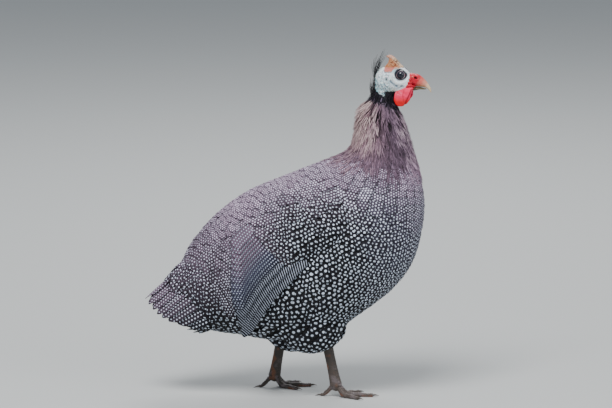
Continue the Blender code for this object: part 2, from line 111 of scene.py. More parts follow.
class Finish:
    """A material under construction: add() makes a node and links or sets its inputs."""

    def __init__(self, name, roughness=0.5):
        self.material = bpy.data.materials.new(name)
        self.material.use_nodes = True
        self.tree = self.material.node_tree
        self.surface = self.tree.nodes["Principled BSDF"]
        self.surface.inputs["Roughness"].default_value = roughness

    def put(self, socket, value):
        """Links an output to a socket, or sets a plain value on it."""
        if isinstance(value, bpy.types.NodeSocket):
            self.tree.links.new(value, socket)
        else:
            socket.default_value = value

    def add(self, kind, settings=None, inputs=None):
        made = self.tree.nodes.new("ShaderNode" + kind)
        for key, value in (settings or {}).items():
            setattr(made, key, value)
        for key, value in (inputs or {}).items():
            self.put(made.inputs[key], value)
        return made.outputs[0]

    def attribute(self, name):
        """What is stored on a mesh's points by that name, as Color, Alpha and so on."""
        return self.add("Attribute", {"attribute_name": name}).node.outputs

    def math(self, what, a, b=0.0, c=0.0):
        return self.add("Math", {"operation": what}, {0: a, 1: b, 2: c})

    def plus(self, a, b):
        return self.math("ADD", a, b)

    def times(self, a, b):
        return self.math("MULTIPLY", a, b)

    def mix(self, share, a, b, way="MIX"):
        made = self.add("Mix", {"data_type": "RGBA", "blend_type": way}, {0: share, 6: a, 7: b})
        return made.node.outputs[2]

    def noise(self, scale, detail=4.0, where=None):
        inputs = {"Scale": scale, "Detail": detail, "Roughness": 0.6}
        if where is not None:
            inputs["Vector"] = where
        return self.add("TexNoise", None, inputs)

    def mottled(self, colour, scale, detail, low, high):
        """A colour multiplied by noise between two tones."""
        return self.mix(1.0, colour, self.mix(self.noise(scale, detail), rgba(low), rgba(high)),
                        "MULTIPLY")

    def painted(self, scale, detail, low, high):
        """The tint that is painted on a mesh's points, mottled."""
        return self.mottled(self.attribute("tint")["Color"], scale, detail, low, high)

    def step(self, value, low, high):
        """A soft step that is 1 below low and 0 above high."""
        return self.add(
            "MapRange", {"interpolation_type": "SMOOTHSTEP"},
            {"Value": value, "From Min": low, "From Max": high, "To Min": 1.0, "To Max": 0.0})

    def bump(self, height, strength, depth):
        """Fine relief by shading alone; depth is in metres."""
        self.put(self.surface.inputs["Normal"], self.add(
            "Bump", None, {"Height": height, "Strength": strength, "Distance": depth}))

    def wear(self, **sockets):
        """Sets the surface's own sockets, and hands the material over."""
        for name, value in sockets.items():
            self.put(self.surface.inputs[name.replace("_", " ")], value)
        return self.material


# %% Helper for pieces
def piece(name, mesh, material, slot, *nodes):
    """Puts a finished mesh on the bird, in place of the solids that it stands for."""
    made = stand(name, mesh)
    mesh.materials.clear()
    mesh.materials.append(material)
    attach(made, "root")
    if nodes:
        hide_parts(*nodes)
    print(name, len(mesh.polygons), "faces")


# %% [markdown]
# ## Light and floor
# A bright overcast sky lights the bird from above, so a large soft lamp over the camera's left
# shoulder does most of the work, with a broad fill from the right and a weak one from behind
# that parts the dark back from the background. The floor is a plain pale disc, wide enough that
# its edge stays far off from every side.

# %% Soft studio light: place, power in watts and size in metres
for name, place, power, size in (
    ("sky_key", (-0.5, -1.5, 2.7), 98, 1.3),
    ("sky_fill", (1.8, -1.5, 1.1), 15, 1.5),
    ("sky_back", (0.2, 1.8, 1.9), 34, 1.4),
):
    lamp = stand(name, bpy.data.lights.new(name, "AREA"))
    lamp.data.energy, lamp.data.size = power, size
    lamp.location = place
    lamp.rotation_euler = (aim - Vector(place)).to_track_quat("-Z", "Y").to_euler()
print("lamps:", len(bpy.data.lights))

# %% Light of the sky from all round
SKY_COLOUR, SKY_STRENGTH = (0.76, 0.84, 0.94), 0.42
world = bpy.data.worlds.new("pale_room")
bpy.context.scene.world = world
world.use_nodes = True
sky = world.node_tree.nodes["Background"].inputs
sky["Color"].default_value, sky["Strength"].default_value = rgba(SKY_COLOUR), SKY_STRENGTH
print("sky:", SKY_COLOUR, "at", SKY_STRENGTH)

# %% Floor, in metres
SPOKES = 48
FLOOR_RIMS = (0.6, 3.0, 12.0, 45.0)
FLOOR_GREY = (0.52, 0.53, 0.52)
sweep = bmesh.new()
turns = [2 * math.pi * k / SPOKES for k in range(SPOKES)]
rims = [[sweep.verts.new((r * math.cos(t), r * math.sin(t), 0)) for t in turns] for r in FLOOR_RIMS]
sweep.faces.new(rims[0])
for inner, outer in zip(rims, rims[1:]):
    for k in range(SPOKES):
        m = (k + 1) % SPOKES
        sweep.faces.new((inner[k], outer[k], outer[m], inner[m]))
floor_mesh = bpy.data.meshes.new("floor")
sweep.to_mesh(floor_mesh)
sweep.free()
floor_mesh.shade_smooth()
floor_mesh.materials.append(Finish("floor_paint", 0.9).wear(Base_Color=rgba(FLOOR_GREY)))
floor = stand("floor", floor_mesh)
print("floor:", len(floor_mesh.polygons), "faces")

# %% [markdown]
# ## The body's form
# The solids follow a bent line of ovals from tail to head. The skin repeats that line, drawn in
# by the depth of the coat, so that the feather tips end where the solids end. The same line also
# tells every feather which way to lie, because plumage runs from head to tail along it.

# %% Stations: back point, belly point and half width, from rump to the top of the neck
TRUNK = [
    (-148, 153, -141, 131, 8), (-139, 194, -125, 97, 33), (-120, 224, -99, 84, 50),
    (-89, 256, -65, 79, 65), (-51, 282, -30, 73, 77), (-8, 300, 11, 70, 85),
    (38, 318, 54, 79, 87), (70, 330, 98, 108, 84), (84, 340, 141, 141, 77),
    (88, 351, 168, 176, 68.5), (90, 364, 182, 220, 59), (92.5, 376, 186, 261, 49),
]
NECK = [
    (95.2, 387.3, 180.6, 298.1, 39.2), (99, 397.1, 171.4, 331.8, 31),
    (104.4, 404.7, 162.1, 363.4, 24.5), (109.9, 411.3, 153.4, 386.2, 19.6),
    (115.3, 420, 148, 400.4, 16.3), (119.7, 430.8, 149.1, 412.4, 14.1),
]
TAIL_CORE = [
    (-116, 214, -95, 91, 41), (-138, 189, -114, 85, 35), (-154, 171, -134, 89, 27),
    (-168, 154, -152, 97, 17), (-177, 141, -170, 108, 8),
]
THIGHS = [((31.5, -36, 103.5), (49.5, 28, 43)), ((8, 36, 96), (46, 28, 47))]
COAT_DEPTH = 3.6
BODY = np.array(TRUNK + NECK, float)
print("stations along the body:", len(BODY))

# %% Values between stations
def stations(rows, at):
    """Smooth values between the listed stations, for an array of places from 0 to len - 1."""
    rows = np.asarray(rows, float)
    at = np.clip(np.asarray(at, float), 0, len(rows) - 1)
    i = np.minimum(at.astype(int), len(rows) - 2)
    f = (at - i)[..., None]
    p, q = rows[np.maximum(i - 1, 0)], rows[i]
    r, s = rows[i + 1], rows[np.minimum(i + 2, len(rows) - 1)]
    return 0.5 * (2 * q + (r - p) * f + (2 * p - 5 * q + 4 * r - s) * f ** 2
                  + (3 * q - p - 3 * r + s) * f ** 3)


# %% Rings and closed meshes
def loft(rows, rings, around, low_bias=0.0, inset=0.0, first=0.0, last=None):
    """Ring points of a loft, as an array rings x around x 3; inset may differ for each ring."""
    last = len(rows) - 1 if last is None else last
    inset = np.broadcast_to(np.asarray(inset, float), rings)[:, None]
    row = stations(rows, np.linspace(first, last, rings))[:, None, :]
    turn = np.linspace(0, 2 * math.pi, around, endpoint=False)[None, :]
    up, out = np.cos(turn), np.sin(turn)
    ax, az = (row[..., 0] - row[..., 2]) / 2, (row[..., 1] - row[..., 3]) / 2
    shrink = 1 - inset / np.maximum(np.hypot(ax, az), 2 * inset + 1e-6)
    half = np.maximum(row[..., 4] - inset, row[..., 4] * 0.4)
    lean = row[..., 5] if row.shape[-1] > 5 else 0.0
    return np.stack([
        (row[..., 0] + row[..., 2]) / 2 + ax * up * shrink,
        lean + out * (1 - low_bias * up) * half,
        (row[..., 1] + row[..., 3]) / 2 + az * up * shrink,
    ], axis=-1)


def skin_over(rings):
    """A closed mesh over ring points, in metres, with a middle point at each end."""
    n, around, _ = rings.shape
    points = np.vstack([rings.reshape(-1, 3), rings[0].mean(0), rings[-1].mean(0)]) * MM
    faces = []
    for i in range(n - 1):
        for k in range(around):
            m = (k + 1) % around
            a, b = i * around, (i + 1) * around
            faces.append((a + k, a + m, b + m, b + k))
    for k in range(around):
        m = (k + 1) % around
        faces.append((m, k, n * around))
        faces.append(((n - 1) * around + k, (n - 1) * around + m, n * around + 1))
    mesh = bpy.data.meshes.new("loft")
    mesh.from_pydata(points.tolist(), [], faces)
    turned = bmesh.new()
    turned.from_mesh(mesh)
    bmesh.ops.recalc_face_normals(turned, faces=turned.faces)
    turned.to_mesh(mesh)
    turned.free()
    mesh.shade_smooth()
    return mesh


# %% Balls, and lumps welded into one skin
def ellipsoid(centre, radii, fine=32):
    """A closed ellipsoid, in millimetres."""
    ball = bmesh.new()
    bmesh.ops.create_uvsphere(ball, u_segments=fine, v_segments=fine // 2, radius=1.0)
    bmesh.ops.scale(ball, vec=Vector(radii) * MM, verts=ball.verts)
    bmesh.ops.translate(ball, vec=Vector(centre) * MM, verts=ball.verts)
    made = bpy.data.meshes.new("ball")
    ball.to_mesh(made)
    ball.free()
    return made


def welded(voxel, passes, *lumps):
    """Closed lumps fused into one skin by a voxel remesh, and smoothed in some passes."""
    whole = bmesh.new()
    for lump in lumps:
        whole.from_mesh(lump)
    raw = bpy.data.meshes.new("lumps")
    whole.to_mesh(raw)
    whole.free()
    holder = stand("holder", raw)
    remesh = holder.modifiers.new("remesh", "REMESH")
    remesh.mode, remesh.voxel_size, remesh.use_smooth_shade = "VOXEL", voxel * MM, True
    smooth = holder.modifiers.new("smooth", "SMOOTH")
    smooth.factor, smooth.iterations = 0.5, passes
    graph = bpy.context.evaluated_depsgraph_get()
    made = bpy.data.meshes.new_from_object(holder.evaluated_get(graph))
    bpy.data.objects.remove(holder)
    made.shade_smooth()
    return made


# %% [markdown]
# ## Where the folded wing lies
# A folded wing is a shallow pad on the side of the body with its long feathers trailing back and
# down. Two guide curves, seen from the side, bound it: one for the lowest feather and one for the
# highest. Any other feather follows a blend of the two, and a ray cast from outside finds how far
# out from the middle of the bird the trunk lies, so the wing hugs it at a chosen lift.

# %% The wing's guides
WING_LOWEST = np.array([(84, 226), (24, 204), (-34, 160), (-60, 84)], float)
WING_HIGHEST = np.array([(64, 290), (-14, 284), (-70, 256), (-90, 204)], float)
WING_KEEPS_OUT = 50.0


def wing_curve(share, t):
    """Side-view place (x, z) on the wing for arrays of share (low to high) and t (root to tip)."""
    share, t = np.broadcast_arrays(np.asarray(share, float), np.asarray(t, float))
    guides = WING_LOWEST + (WING_HIGHEST - WING_LOWEST) * share[..., None, None]
    s = 1 - t
    weights = np.stack([s ** 3, 3 * s * s * t, 3 * s * t * t, t ** 3], axis=-1)
    return (weights[..., None] * guides).sum(-2)


def coverts_end(share):
    """How far along the wing's curves its coverts reach, further on the upper ones."""
    return 0.50 + 0.34 * share


print("tip of the lowest wing feather:", wing_curve(0.0, 1.0))

# %% How far out the trunk's side lies
trunk_tree = BVHTree.FromPolygons(
    [v.co for v in SOLIDS["torso"].data.vertices],
    [tuple(p.vertices) for p in SOLIDS["torso"].data.polygons])


def out_from_middle(x, z, lift):
    """How far from the middle plane a thing lies that is lift clear of the trunk's side."""
    keep = WING_KEEPS_OUT * (1 - 0.35 * abs(x - 20) / 130)
    hit, normal, _, _ = trunk_tree.ray_cast(Vector((x, -300, z)) * MM, Vector((0, 1, 0)))
    if hit is None:
        return keep + lift
    return max(-hit.y / MM + lift / max(abs(normal.y), 0.45), keep + lift)


print("the trunk is", round(out_from_middle(20, 200, 0.0)), "mm out at mid wing")

# %% The wing's pad
PAD_SUNK, PAD_RIM, PAD_SWELL = -9.0, -4.5, 9.3


def wing_pad(side):
    """The fleshy part of the wing, to be fused with the skin."""
    shares, steps = np.linspace(0, 1, 21), np.linspace(0, 1, 23)
    layers = []
    for upper in (False, True):
        layer = []
        for share in shares:
            front = -0.05 + 0.13 * (2 * share - 1) ** 2
            far = coverts_end(share)
            for step in steps:
                x, z = wing_curve(share, front + (far - front) * step)
                full = min(1.0, min(share / 0.25, (1 - share) / 0.35, step / 0.3, (1 - step) / 0.2))
                lift = PAD_RIM + PAD_SWELL * math.sin(full * math.pi / 2) if upper else PAD_SUNK
                layer.append((x, side * out_from_middle(x, z, lift), z))
        layers.append(np.array(layer).reshape(len(shares), len(steps), 3))
    low, high = layers
    return skin_over(np.concatenate([low, high[:, ::-1]], axis=1))


# %% [markdown]
# ## One skin
# Trunk, neck, tail root, thighs and wing pads are lofted or rounded separately and then fused by
# a voxel remesh, which welds overlapping closed forms into one. A light smoothing pass takes the
# voxel steps away.

# %% Fuse the body skin
body_skin = welded(
    2.4, 6,
    skin_over(loft(BODY, 120, 72, 0.10, COAT_DEPTH, last=len(BODY) - 1.6)),
    skin_over(loft(TAIL_CORE, 24, 40, 0.0, COAT_DEPTH * 0.7)),
    *[ellipsoid(c, [r - 0.5 * COAT_DEPTH for r in radii]) for c, radii in THIGHS],
    wing_pad(-1), wing_pad(1))
print("skin:", len(body_skin.polygons), "faces")

# %% [markdown]
# ## Which way the coat lies
# For any point on the skin we look up the nearest place on the body's bent line: how far along it
# is, how high between belly and back, and which way the tail is. Doing this once on a coarse grid
# in side view and reading the grid afterwards is much quicker than a search for every feather.

# %% Arrows of length 1, and search trees in side view
def unit(arrows):
    """Arrows brought to length 1."""
    return arrows / np.maximum(np.linalg.norm(arrows, axis=-1, keepdims=True), 1e-6)


def side_finder(places):
    """A search tree over side-view places."""
    finder = KDTree(len(places))
    for number, (x, z) in enumerate(places):
        finder.insert((x, z, 0), number)
    finder.balance()
    return finder


# %% Side-view map of the body's line
GRID = 3.0
GRID_LOW = np.array([-220.0, 0.0])
GRID_SIZE = (150, 165)
line_at = np.linspace(0, len(BODY) - 1, 260)
heights = np.linspace(-1.5, 1.5, 41)
line_rows = stations(BODY, line_at)
line_middle = (line_rows[:, 0:2] + line_rows[:, 2:4]) / 2
line_half = (line_rows[:, 0:2] - line_rows[:, 2:4]) / 2
samples = line_middle[:, None] + line_half[:, None] * heights[None, :, None]
toward_tail = unit(-np.gradient(samples, axis=0))
finder = side_finder(samples.reshape(-1, 2))
flat_line = np.repeat(line_at, len(heights))
flat_height = np.tile(heights, len(line_at))
flat_tail = toward_tail.reshape(-1, 2)
side_map = np.zeros((*GRID_SIZE, 4))
for i in range(GRID_SIZE[0]):
    for j in range(GRID_SIZE[1]):
        x, z = GRID_LOW + GRID * np.array([i, j])
        near = [n for _, n, _ in finder.find_n((x, z, 0), 5)]
        side_map[i, j] = [flat_line[near].mean(), flat_height[near].mean(), *flat_tail[near].mean(0)]
print("side map:", side_map.shape)


def read_side_map(points):
    """Along the line, height and direction towards the tail, for points in millimetres."""
    at = (points[:, [0, 2]] - GRID_LOW) / GRID
    at = np.clip(at, 0, np.array(GRID_SIZE) - 1.001)
    i, f = at.astype(int), at - at.astype(int)
    value = 0
    for di in (0, 1):
        for dj in (0, 1):
            weight = np.abs(1 - di - f[:, 0]) * np.abs(1 - dj - f[:, 1])
            value = value + weight[:, None] * side_map[i[:, 0] + di, i[:, 1] + dj]
    return value


# %% [markdown]
# ## Rules for shape and colour
# Everything below is worked by rule, not by hand: a rule takes how far each point lies from a
# place, a line or a height, and turns that into a share from 0 to 1 by a hill or a soft step.
# The share then moves the point or washes a colour over it. Noise keeps the rules from looking
# drawn, since no fold, stain or feather of a real bird is quite like the next.

# %% Distances, hills, steps and noise
def near_line(x, z, line):
    """Distance in side view from places to a line through listed points."""
    best = np.full(x.shape, 1e9)
    for (ax, az), (bx, bz) in zip(line, line[1:]):
        dx, dz = bx - ax, bz - az
        t = np.clip(((x - ax) * dx + (z - az) * dz) / (dx * dx + dz * dz), 0, 1)
        best = np.minimum(best, np.hypot(x - ax - dx * t, z - az - dz * t))
    return best


def hill(distance, centre, width):
    """1 at the centre, and fading out within about twice the width."""
    return np.exp(-((distance - centre) / width) ** 2)


def smoothstep(low, high, value):
    """Rises from 0 at low to 1 at high, or falls, where high is the lower number."""
    t = np.clip((value - low) / (high - low), 0, 1)
    return t * t * (3 - 2 * t)


def grain(points, scale, seed=0.0):
    """Smooth noise from -1 to 1 at each point, with features about one over scale in size."""
    return np.array([noise.noise(Vector(p) * scale + Vector((seed, seed, seed))) for p in points])


print("a step from 0 to 10 is at", smoothstep(0, 10, 2.5), "after a quarter of the way")

# %% Washes of colour, and points put back on a mesh
def washed(colour, *washes):
    """A colour under washes laid over it in turn, each a colour and a share at each point."""
    for other, share in washes:
        colour = colour + (np.asarray(other) - colour) * np.asarray(share)[:, None]
    return colour


def set_points(mesh, points, tint):
    """Moves a mesh's points, in millimetres, and paints them."""
    mesh.vertices.foreach_set("co", (points * MM).ravel())
    layer = mesh.attributes.new("tint", "FLOAT_COLOR", "POINT")
    tint = np.concatenate([np.clip(tint, 0.002, 1), np.ones((len(tint), 1))], axis=1)
    layer.data.foreach_set("color", tint.astype(np.float32).ravel())
    mesh.update()
    mesh.shade_smooth()


# %% [markdown]
# ## What each feather looks like, by where it grows
# A guinea fowl is one pattern at many sizes: white dots on near black. They are largest on flank
# and belly, smaller on wing and breast, and so fine on the back that it reads as mauve grey. So
# the distance between dots was measured at some forty places in side view, and every other place
# takes a soft average of those near it.

# %% Dots: x, z, distance between them in millimetres, and share of mauve
DOT_PLACES = np.array([
    (78, 324, 2.5, 0.95), (16, 302, 2.4, 1.00), (-52, 272, 2.5, 1.00), (-111, 214, 3.9, 0.55),
    (-167, 135, 4.7, 0.45), (-111, 178, 4.8, 0.22), (-111, 140, 6.0, 0.10), (-99, 95, 7.0, 0.00),
    (46, 288, 3.9, 0.45), (-24, 280, 3.0, 0.90), (14, 258, 5.0, 0.08), (30, 238, 5.4, 0.00),
    (66, 260, 5.3, 0.03), (66, 231, 5.5, 0.00), (97, 260, 5.3, 0.05), (97, 214, 5.7, 0.00),
    (66, 183, 6.2, 0.00), (50, 134, 6.9, 0.00), (97, 134, 6.1, 0.00), (144, 236, 5.2, 0.10),
    (144, 209, 5.2, 0.05), (144, 161, 5.2, 0.05), (128, 273, 4.5, 0.10), (97, 289, 4.0, 0.30),
    (116, 303, 3.5, 0.45), (110, 338, 2.4, 1.00), (88, 345, 2.5, 1.00), (172, 316, 2.9, 0.90),
    (173, 268, 3.9, 0.30), (172, 215, 4.4, 0.15), (166, 180, 5.0, 0.05), (57, 75, 7.0, 0.00),
    (4, 100, 7.4, 0.00), (-24, 80, 7.2, 0.00), (-72, 232, 2.9, 0.62), (-52, 200, 3.4, 0.30),
    (-30, 226, 4.6, 0.15), (-65, 160, 3.2, 0.20), (125, 110, 6.2, 0.00), (-7, 245, 5.0, 0.02),
    (20, 264, 5.0, 0.05), (-24, 266, 4.0, 0.70), (-45, 236, 4.2, 0.55), (-85, 205, 4.2, 0.50),
    (-95, 185, 4.4, 0.30), (-62, 258, 2.6, 1.00),
])
DOT_REACH = 17.0
print("measured places:", len(DOT_PLACES), "dots", DOT_PLACES[:, 2].min(), "mm apart at least")


def dot_pattern(points):
    """Distance between dots and share of mauve, a soft average of the measured places."""
    gap = points[:, None, [0, 2]] - DOT_PLACES[None, :, :2]
    weight = np.exp(-(gap ** 2).sum(-1) / (2 * DOT_REACH ** 2)) + 1e-7
    weight /= weight.sum(1, keepdims=True)
    return (weight @ DOT_PLACES[:, 2:]).T


# %% Colours of the plumage
BLACK = np.array([0.009, 0.009, 0.012])
SLATE = np.array([0.028, 0.034, 0.055])
MAUVE = np.array([0.250, 0.168, 0.245])
BLUE_GREY = np.array([0.052, 0.056, 0.098])
NECK_MAUVE = np.array([0.178, 0.120, 0.170])
WHITE = np.array([0.66, 0.74, 0.86])
PALE_MAUVE = np.array([0.89, 0.74, 0.95])
print("white of the dots:", WHITE, "on the back:", PALE_MAUVE)

# %% [markdown]
# ## Where the wing's coverts lie
# On the wing the coat runs along the wing's own curves. A search tree over a grid of points on
# those curves tells, for a place in side view, which curve passes there and which way it runs.

# %% Search tree over the wing
wing_shares, wing_steps = np.meshgrid(np.linspace(0, 1, 41), np.linspace(0, 1, 71), indexing="ij")
wing_steps = -0.05 + (coverts_end(wing_shares) + 0.03) * wing_steps
wing_places = wing_curve(wing_shares, wing_steps)
wing_run = unit(wing_curve(wing_shares, wing_steps + 0.02) - wing_places).reshape(-1, 2)
wing_finder = side_finder(wing_places.reshape(-1, 2))
print("places on the wing:", len(wing_run))

# %% Which way feathers lie
THIGH_LIE = np.array([-0.5, 0, -0.86])


def lie_of(points, normals, tail_x, tail_z, thigh):
    """Which way feathers lie at these points, and which of the points are on a wing."""
    lie = np.stack([tail_x, np.zeros_like(tail_x), tail_z], axis=1)
    x, y, z = points.T
    wing = np.zeros(len(points))
    for n in np.flatnonzero((x > -75) & (x < 90) & (z > 95) & (z < 300) & (np.abs(y) > 40)):
        _, number, far = wing_finder.find((x[n], z[n], 0))
        if far < 3 and abs(y[n]) > out_from_middle(x[n], z[n], -3.0):
            wing[n] = 1
            lie[n] = (wing_run[number, 0], 0, wing_run[number, 1])
    lie = lie * (1 - thigh[:, None]) + THIGH_LIE * thigh[:, None]
    return unit(lie - normals * (lie * normals).sum(1, keepdims=True)), wing


# %% The look of a feather, by where it grows
# The wing's rear edge, along which painted shade darkens the rump's feathers
WING_EDGE = [(-80, 218), (-87, 195), (-89, 150), (-82, 118), (-72, 95)]
DOT_RADIUS = 0.272  # in steps between dots
NECK_FROM, NECK_TO = 312, 350


def collar(points):
    """Height above the slanting line where the neck's feathers end, in millimetres."""
    return points[:, 2] - (405 - 0.32 * (points[:, 0] - 108))


def zones(points, normals):
    """Everything that sets the look of the feathers rooted at these points."""
    along, height, tail_x, tail_z = read_side_map(points).T
    x, _, z = points.T
    thigh = smoothstep(112, 78, z) * smoothstep(-60, -35, x) * smoothstep(105, 85, x)
    lie, wing = lie_of(points, normals, tail_x, tail_z, thigh)
    pitch, mauve = dot_pattern(points)
    ragged = 10 * grain(points, 0.045, 15.0)
    neck = smoothstep(NECK_FROM, NECK_TO, z + 0.12 * (x - 110) + ragged)
    small = smoothstep(4.2, 2.4, along) * smoothstep(-1.0, -0.5, height)
    # Dots shrink towards the belly so that it reads darker: painted shade under the bird
    low = smoothstep(150, 90, z)
    slate = (smoothstep(7.0, 9.5, along) * (1 - mauve))[:, None]
    ground = BLACK + (MAUVE - BLACK) * mauve[:, None]
    ground = ground + (SLATE - BLACK) * slate * 0.8
    ground = ground * (1 - neck[:, None]) + NECK_MAUVE * neck[:, None]
    # Painted shade: ground and dots darkened near the wing's rear edge, where the wing shades the
    # rump
    wing_edge_shade = hill(near_line(x, z, WING_EDGE), 0, 8.0) * smoothstep(-50, -62, x)
    dot = DOT_RADIUS - 0.012 * mauve - 0.045 * small - 0.018 * wing - 0.022 * low
    return {
        "along": along, "height": height, "lie": lie, "wing": wing, "neck": neck,
        "mauve": mauve, "pitch": pitch, "collar": collar(points),
        "ground": ground * (1 - 0.45 * wing_edge_shade)[:, None],
        "radius": dot * (1 - smoothstep(0.2, 0.8, neck)),
        "spot": (WHITE + (PALE_MAUVE - WHITE) * mauve[:, None]) * (1 - 0.3 * wing_edge_shade)[:, None],
    }


# %% [markdown]
# ## Where feathers root
# Real feathers stand in slanting rows, each in the gap between two in front of it. Trying many
# places in order from head to tail, and keeping one only if it is a full feather's spacing from
# all that are kept, gives just such rows with the small faults of real plumage. The spacing is
# an oval, wide across the body and short along it.

# %% Read a mesh as arrays
def read_mesh(mesh):
    """Corner places in millimetres, smooth normals and triangles of a mesh, as arrays."""
    mesh.calc_loop_triangles()
    co = np.empty(len(mesh.vertices) * 3)
    mesh.vertices.foreach_get("co", co)
    normals = np.empty(len(mesh.vertices) * 3)
    mesh.vertices.foreach_get("normal", normals)
    tri = np.empty(len(mesh.loop_triangles) * 3, int)
    mesh.loop_triangles.foreach_get("vertices", tri)
    return co.reshape(-1, 3) / MM, normals.reshape(-1, 3), tri.reshape(-1, 3)


# %% Candidate places on the skin
def scatter(mesh, per_square):
    """Seeded points over a mesh with smooth normals, in millimetres."""
    co, normals, tri = read_mesh(mesh)
    a, b, c = co[tri[:, 0]], co[tri[:, 1]], co[tri[:, 2]]
    area = np.linalg.norm(np.cross(b - a, c - a), axis=1) / 2
    count = int(area.sum() * per_square)
    chosen = np.searchsorted(np.cumsum(area) / area.sum(), (np.arange(count) + 0.5) / count)
    u, v = rng.random((2, count))
    flip = u + v > 1
    u[flip], v[flip] = 1 - u[flip], 1 - v[flip]
    w = np.stack([1 - u - v, u, v], axis=1)[..., None]
    places = (co[tri[chosen]] * w).sum(1)
    return places, unit((normals[tri[chosen]] * w).sum(1))


def bed_of(mesh, per_square):
    """A skin made ready for feathers: candidate places, their look, and a tree to drop onto."""
    places, facing = scatter(mesh, per_square)
    look = zones(places, facing)
    co, normals, _ = read_mesh(mesh)
    faces = [tuple(p.vertices) for p in mesh.polygons]
    return {
        "places": places, "facing": facing, "look": look, "across": np.cross(facing, look["lie"]),
        "tree": BVHTree.FromPolygons([tuple(p) for p in co], faces),
        "outward": np.array([normals[list(f)].mean(0) for f in faces]),
    }


body_bed = bed_of(body_skin, 1.2)
print("candidates:", len(body_bed["places"]))

# %% Keep places that are a spacing apart
CELL = 17.0


def keep_spaced(bed, wide, long, allowed):
    """Indices of the allowed places that stay, each a spacing away from those kept before it."""
    points, across, lie = bed["places"], bed["across"], bed["look"]["lie"]
    usable = np.flatnonzero(allowed)
    order = usable[np.argsort(-bed["look"]["along"][usable])]
    key = np.floor(points / CELL).astype(int)
    cells = {}
    for index in order:
        cells.setdefault(tuple(key[index]), []).append(index)
    cells = {k: np.array(v) for k, v in cells.items()}
    around = [(i, j, k) for i in (-1, 0, 1) for j in (-1, 0, 1) for k in (-1, 0, 1)]
    blocked = np.zeros(len(points), bool)
    kept = []
    for index in order:
        if blocked[index]:
            continue
        kept.append(index)
        spots = [tuple(key[index] + np.array(step)) for step in around]
        near = np.concatenate([cells[s] for s in spots if s in cells])
        gap = points[near] - points[index]
        u = gap @ across[index] / wide[index]
        v = gap @ lie[index] / long[index]
        blocked[near[u * u + v * v < 1]] = True
    return np.array(kept)


# %% [markdown]
# ## A feather as a mesh
# Each vane is a small grid, closed on its underside, a third of a millimetre thick in the middle
# and sharp at its rim. It is laid flat first, then every point is dropped to the skin and lifted:
# least at the root, most at the tip, so each one rests on those behind it like a roof tile.
# The first map on the mesh, OFBake, gives each feather a small patch at its root's place on an
# unrolled skin. The second, Vane, counts dots across and along the vane.

# %% Drop points onto the skin
def drape(bed, flat, lift):
    """Drops points onto the skin of a bed and raises each by its lift."""
    landed = np.empty_like(flat)
    upward = np.empty_like(flat)
    for n, point in enumerate(flat):
        spot, _, face, _ = bed["tree"].find_nearest(point)
        landed[n] = spot
        upward[n] = bed["outward"][face]
    return landed + unit(upward) * lift[:, None]


# %% Faces of one vane
def vane_faces(rows, columns):
    """Corner numbers of one closed vane: a top grid, and an underside that shares its rim."""
    top = np.arange(rows * columns).reshape(rows, columns)
    low = top.copy()
    inner = (rows - 2) * (columns - 2)
    low[1:-1, 1:-1] = rows * columns + np.arange(inner).reshape(rows - 2, columns - 2)
    quads = []
    for i in range(rows - 1):
        for j in range(columns - 1):
            quads.append((top[i, j], top[i, j + 1], top[i + 1, j + 1], top[i + 1, j]))
            quads.append((low[i, j], low[i + 1, j], low[i + 1, j + 1], low[i, j + 1]))
    return np.array(quads), rows * columns + inner


print("a vane of 6 rows by 5 columns has", len(vane_faces(6, 5)[0]), "faces")

# %% Many vanes as one mesh
def vanes_mesh(name, top, thick, down, dots, ground, spot, patch):
    """One mesh of closed vanes from top grids (n, rows, columns, 3) and what each one wears."""
    top, down, dots, ground, spot = (np.asarray(a) for a in (top, down, dots, ground, spot))
    count, rows, columns, _ = top.shape
    quads, each = vane_faces(rows, columns)
    under = top[:, 1:-1, 1:-1] + down * thick

    def per_point(grid):
        flat = grid.reshape(count, -1, grid.shape[-1])
        inner = grid[:, 1:-1, 1:-1].reshape(count, -1, grid.shape[-1])
        return np.concatenate([flat, inner], axis=1).reshape(-1, grid.shape[-1])

    points = np.concatenate([top.reshape(count, -1, 3), under.reshape(count, -1, 3)], axis=1)
    faces = (quads[None] + each * np.arange(count)[:, None, None]).reshape(-1, 4)
    mesh = bpy.data.meshes.new(name)
    mesh.vertices.add(count * each)
    mesh.vertices.foreach_set("co", (points * MM).ravel())
    mesh.loops.add(faces.size)
    mesh.loops.foreach_set("vertex_index", faces.ravel().astype(np.int32))
    mesh.polygons.add(len(faces))
    mesh.polygons.foreach_set("loop_start", np.arange(0, faces.size, 4, dtype=np.int32))
    mesh.update(calc_edges=True)
    for map_name, values in (("OFBake", per_point(patch)), ("Vane", per_point(dots))):
        layer = mesh.uv_layers.new(name=map_name)
        layer.data.foreach_set("uv", values[faces.ravel()].astype(np.float32).ravel())
    for colour_name, values in (("ground", ground), ("spot", spot)):
        layer = mesh.attributes.new(colour_name, "FLOAT_COLOR", "POINT")
        values = np.broadcast_to(values.reshape(count, 1, 1, 4), (count, rows, columns, 4))
        layer.data.foreach_set("color", per_point(values).astype(np.float32).ravel())
    mesh.shade_smooth()
    return mesh


# %% Patches for the bake
PATCH = 0.003
UNROLLED_HEIGHT = 60


def bake_patch(root, share, columns, along=None, height=None):
    """A small patch for each feather, placed where its root lies on the unrolled skin."""
    if along is None:
        along, height, _, _ = read_side_map(root).T
    u = 0.02 + 0.96 * np.clip(along / (len(BODY) - 1), 0, 1)
    v = 0.02 + 0.96 * (np.arctan2(root[:, 1], height * UNROLLED_HEIGHT) / (2 * math.pi) + 0.5)
    patch = np.empty((len(root), len(share), len(columns), 2))
    patch[..., 0] = u[:, None, None] + (share[None, :, None] - 0.5) * PATCH
    patch[..., 1] = v[:, None, None] + columns[None, None, :] * (PATCH / 2)
    return patch


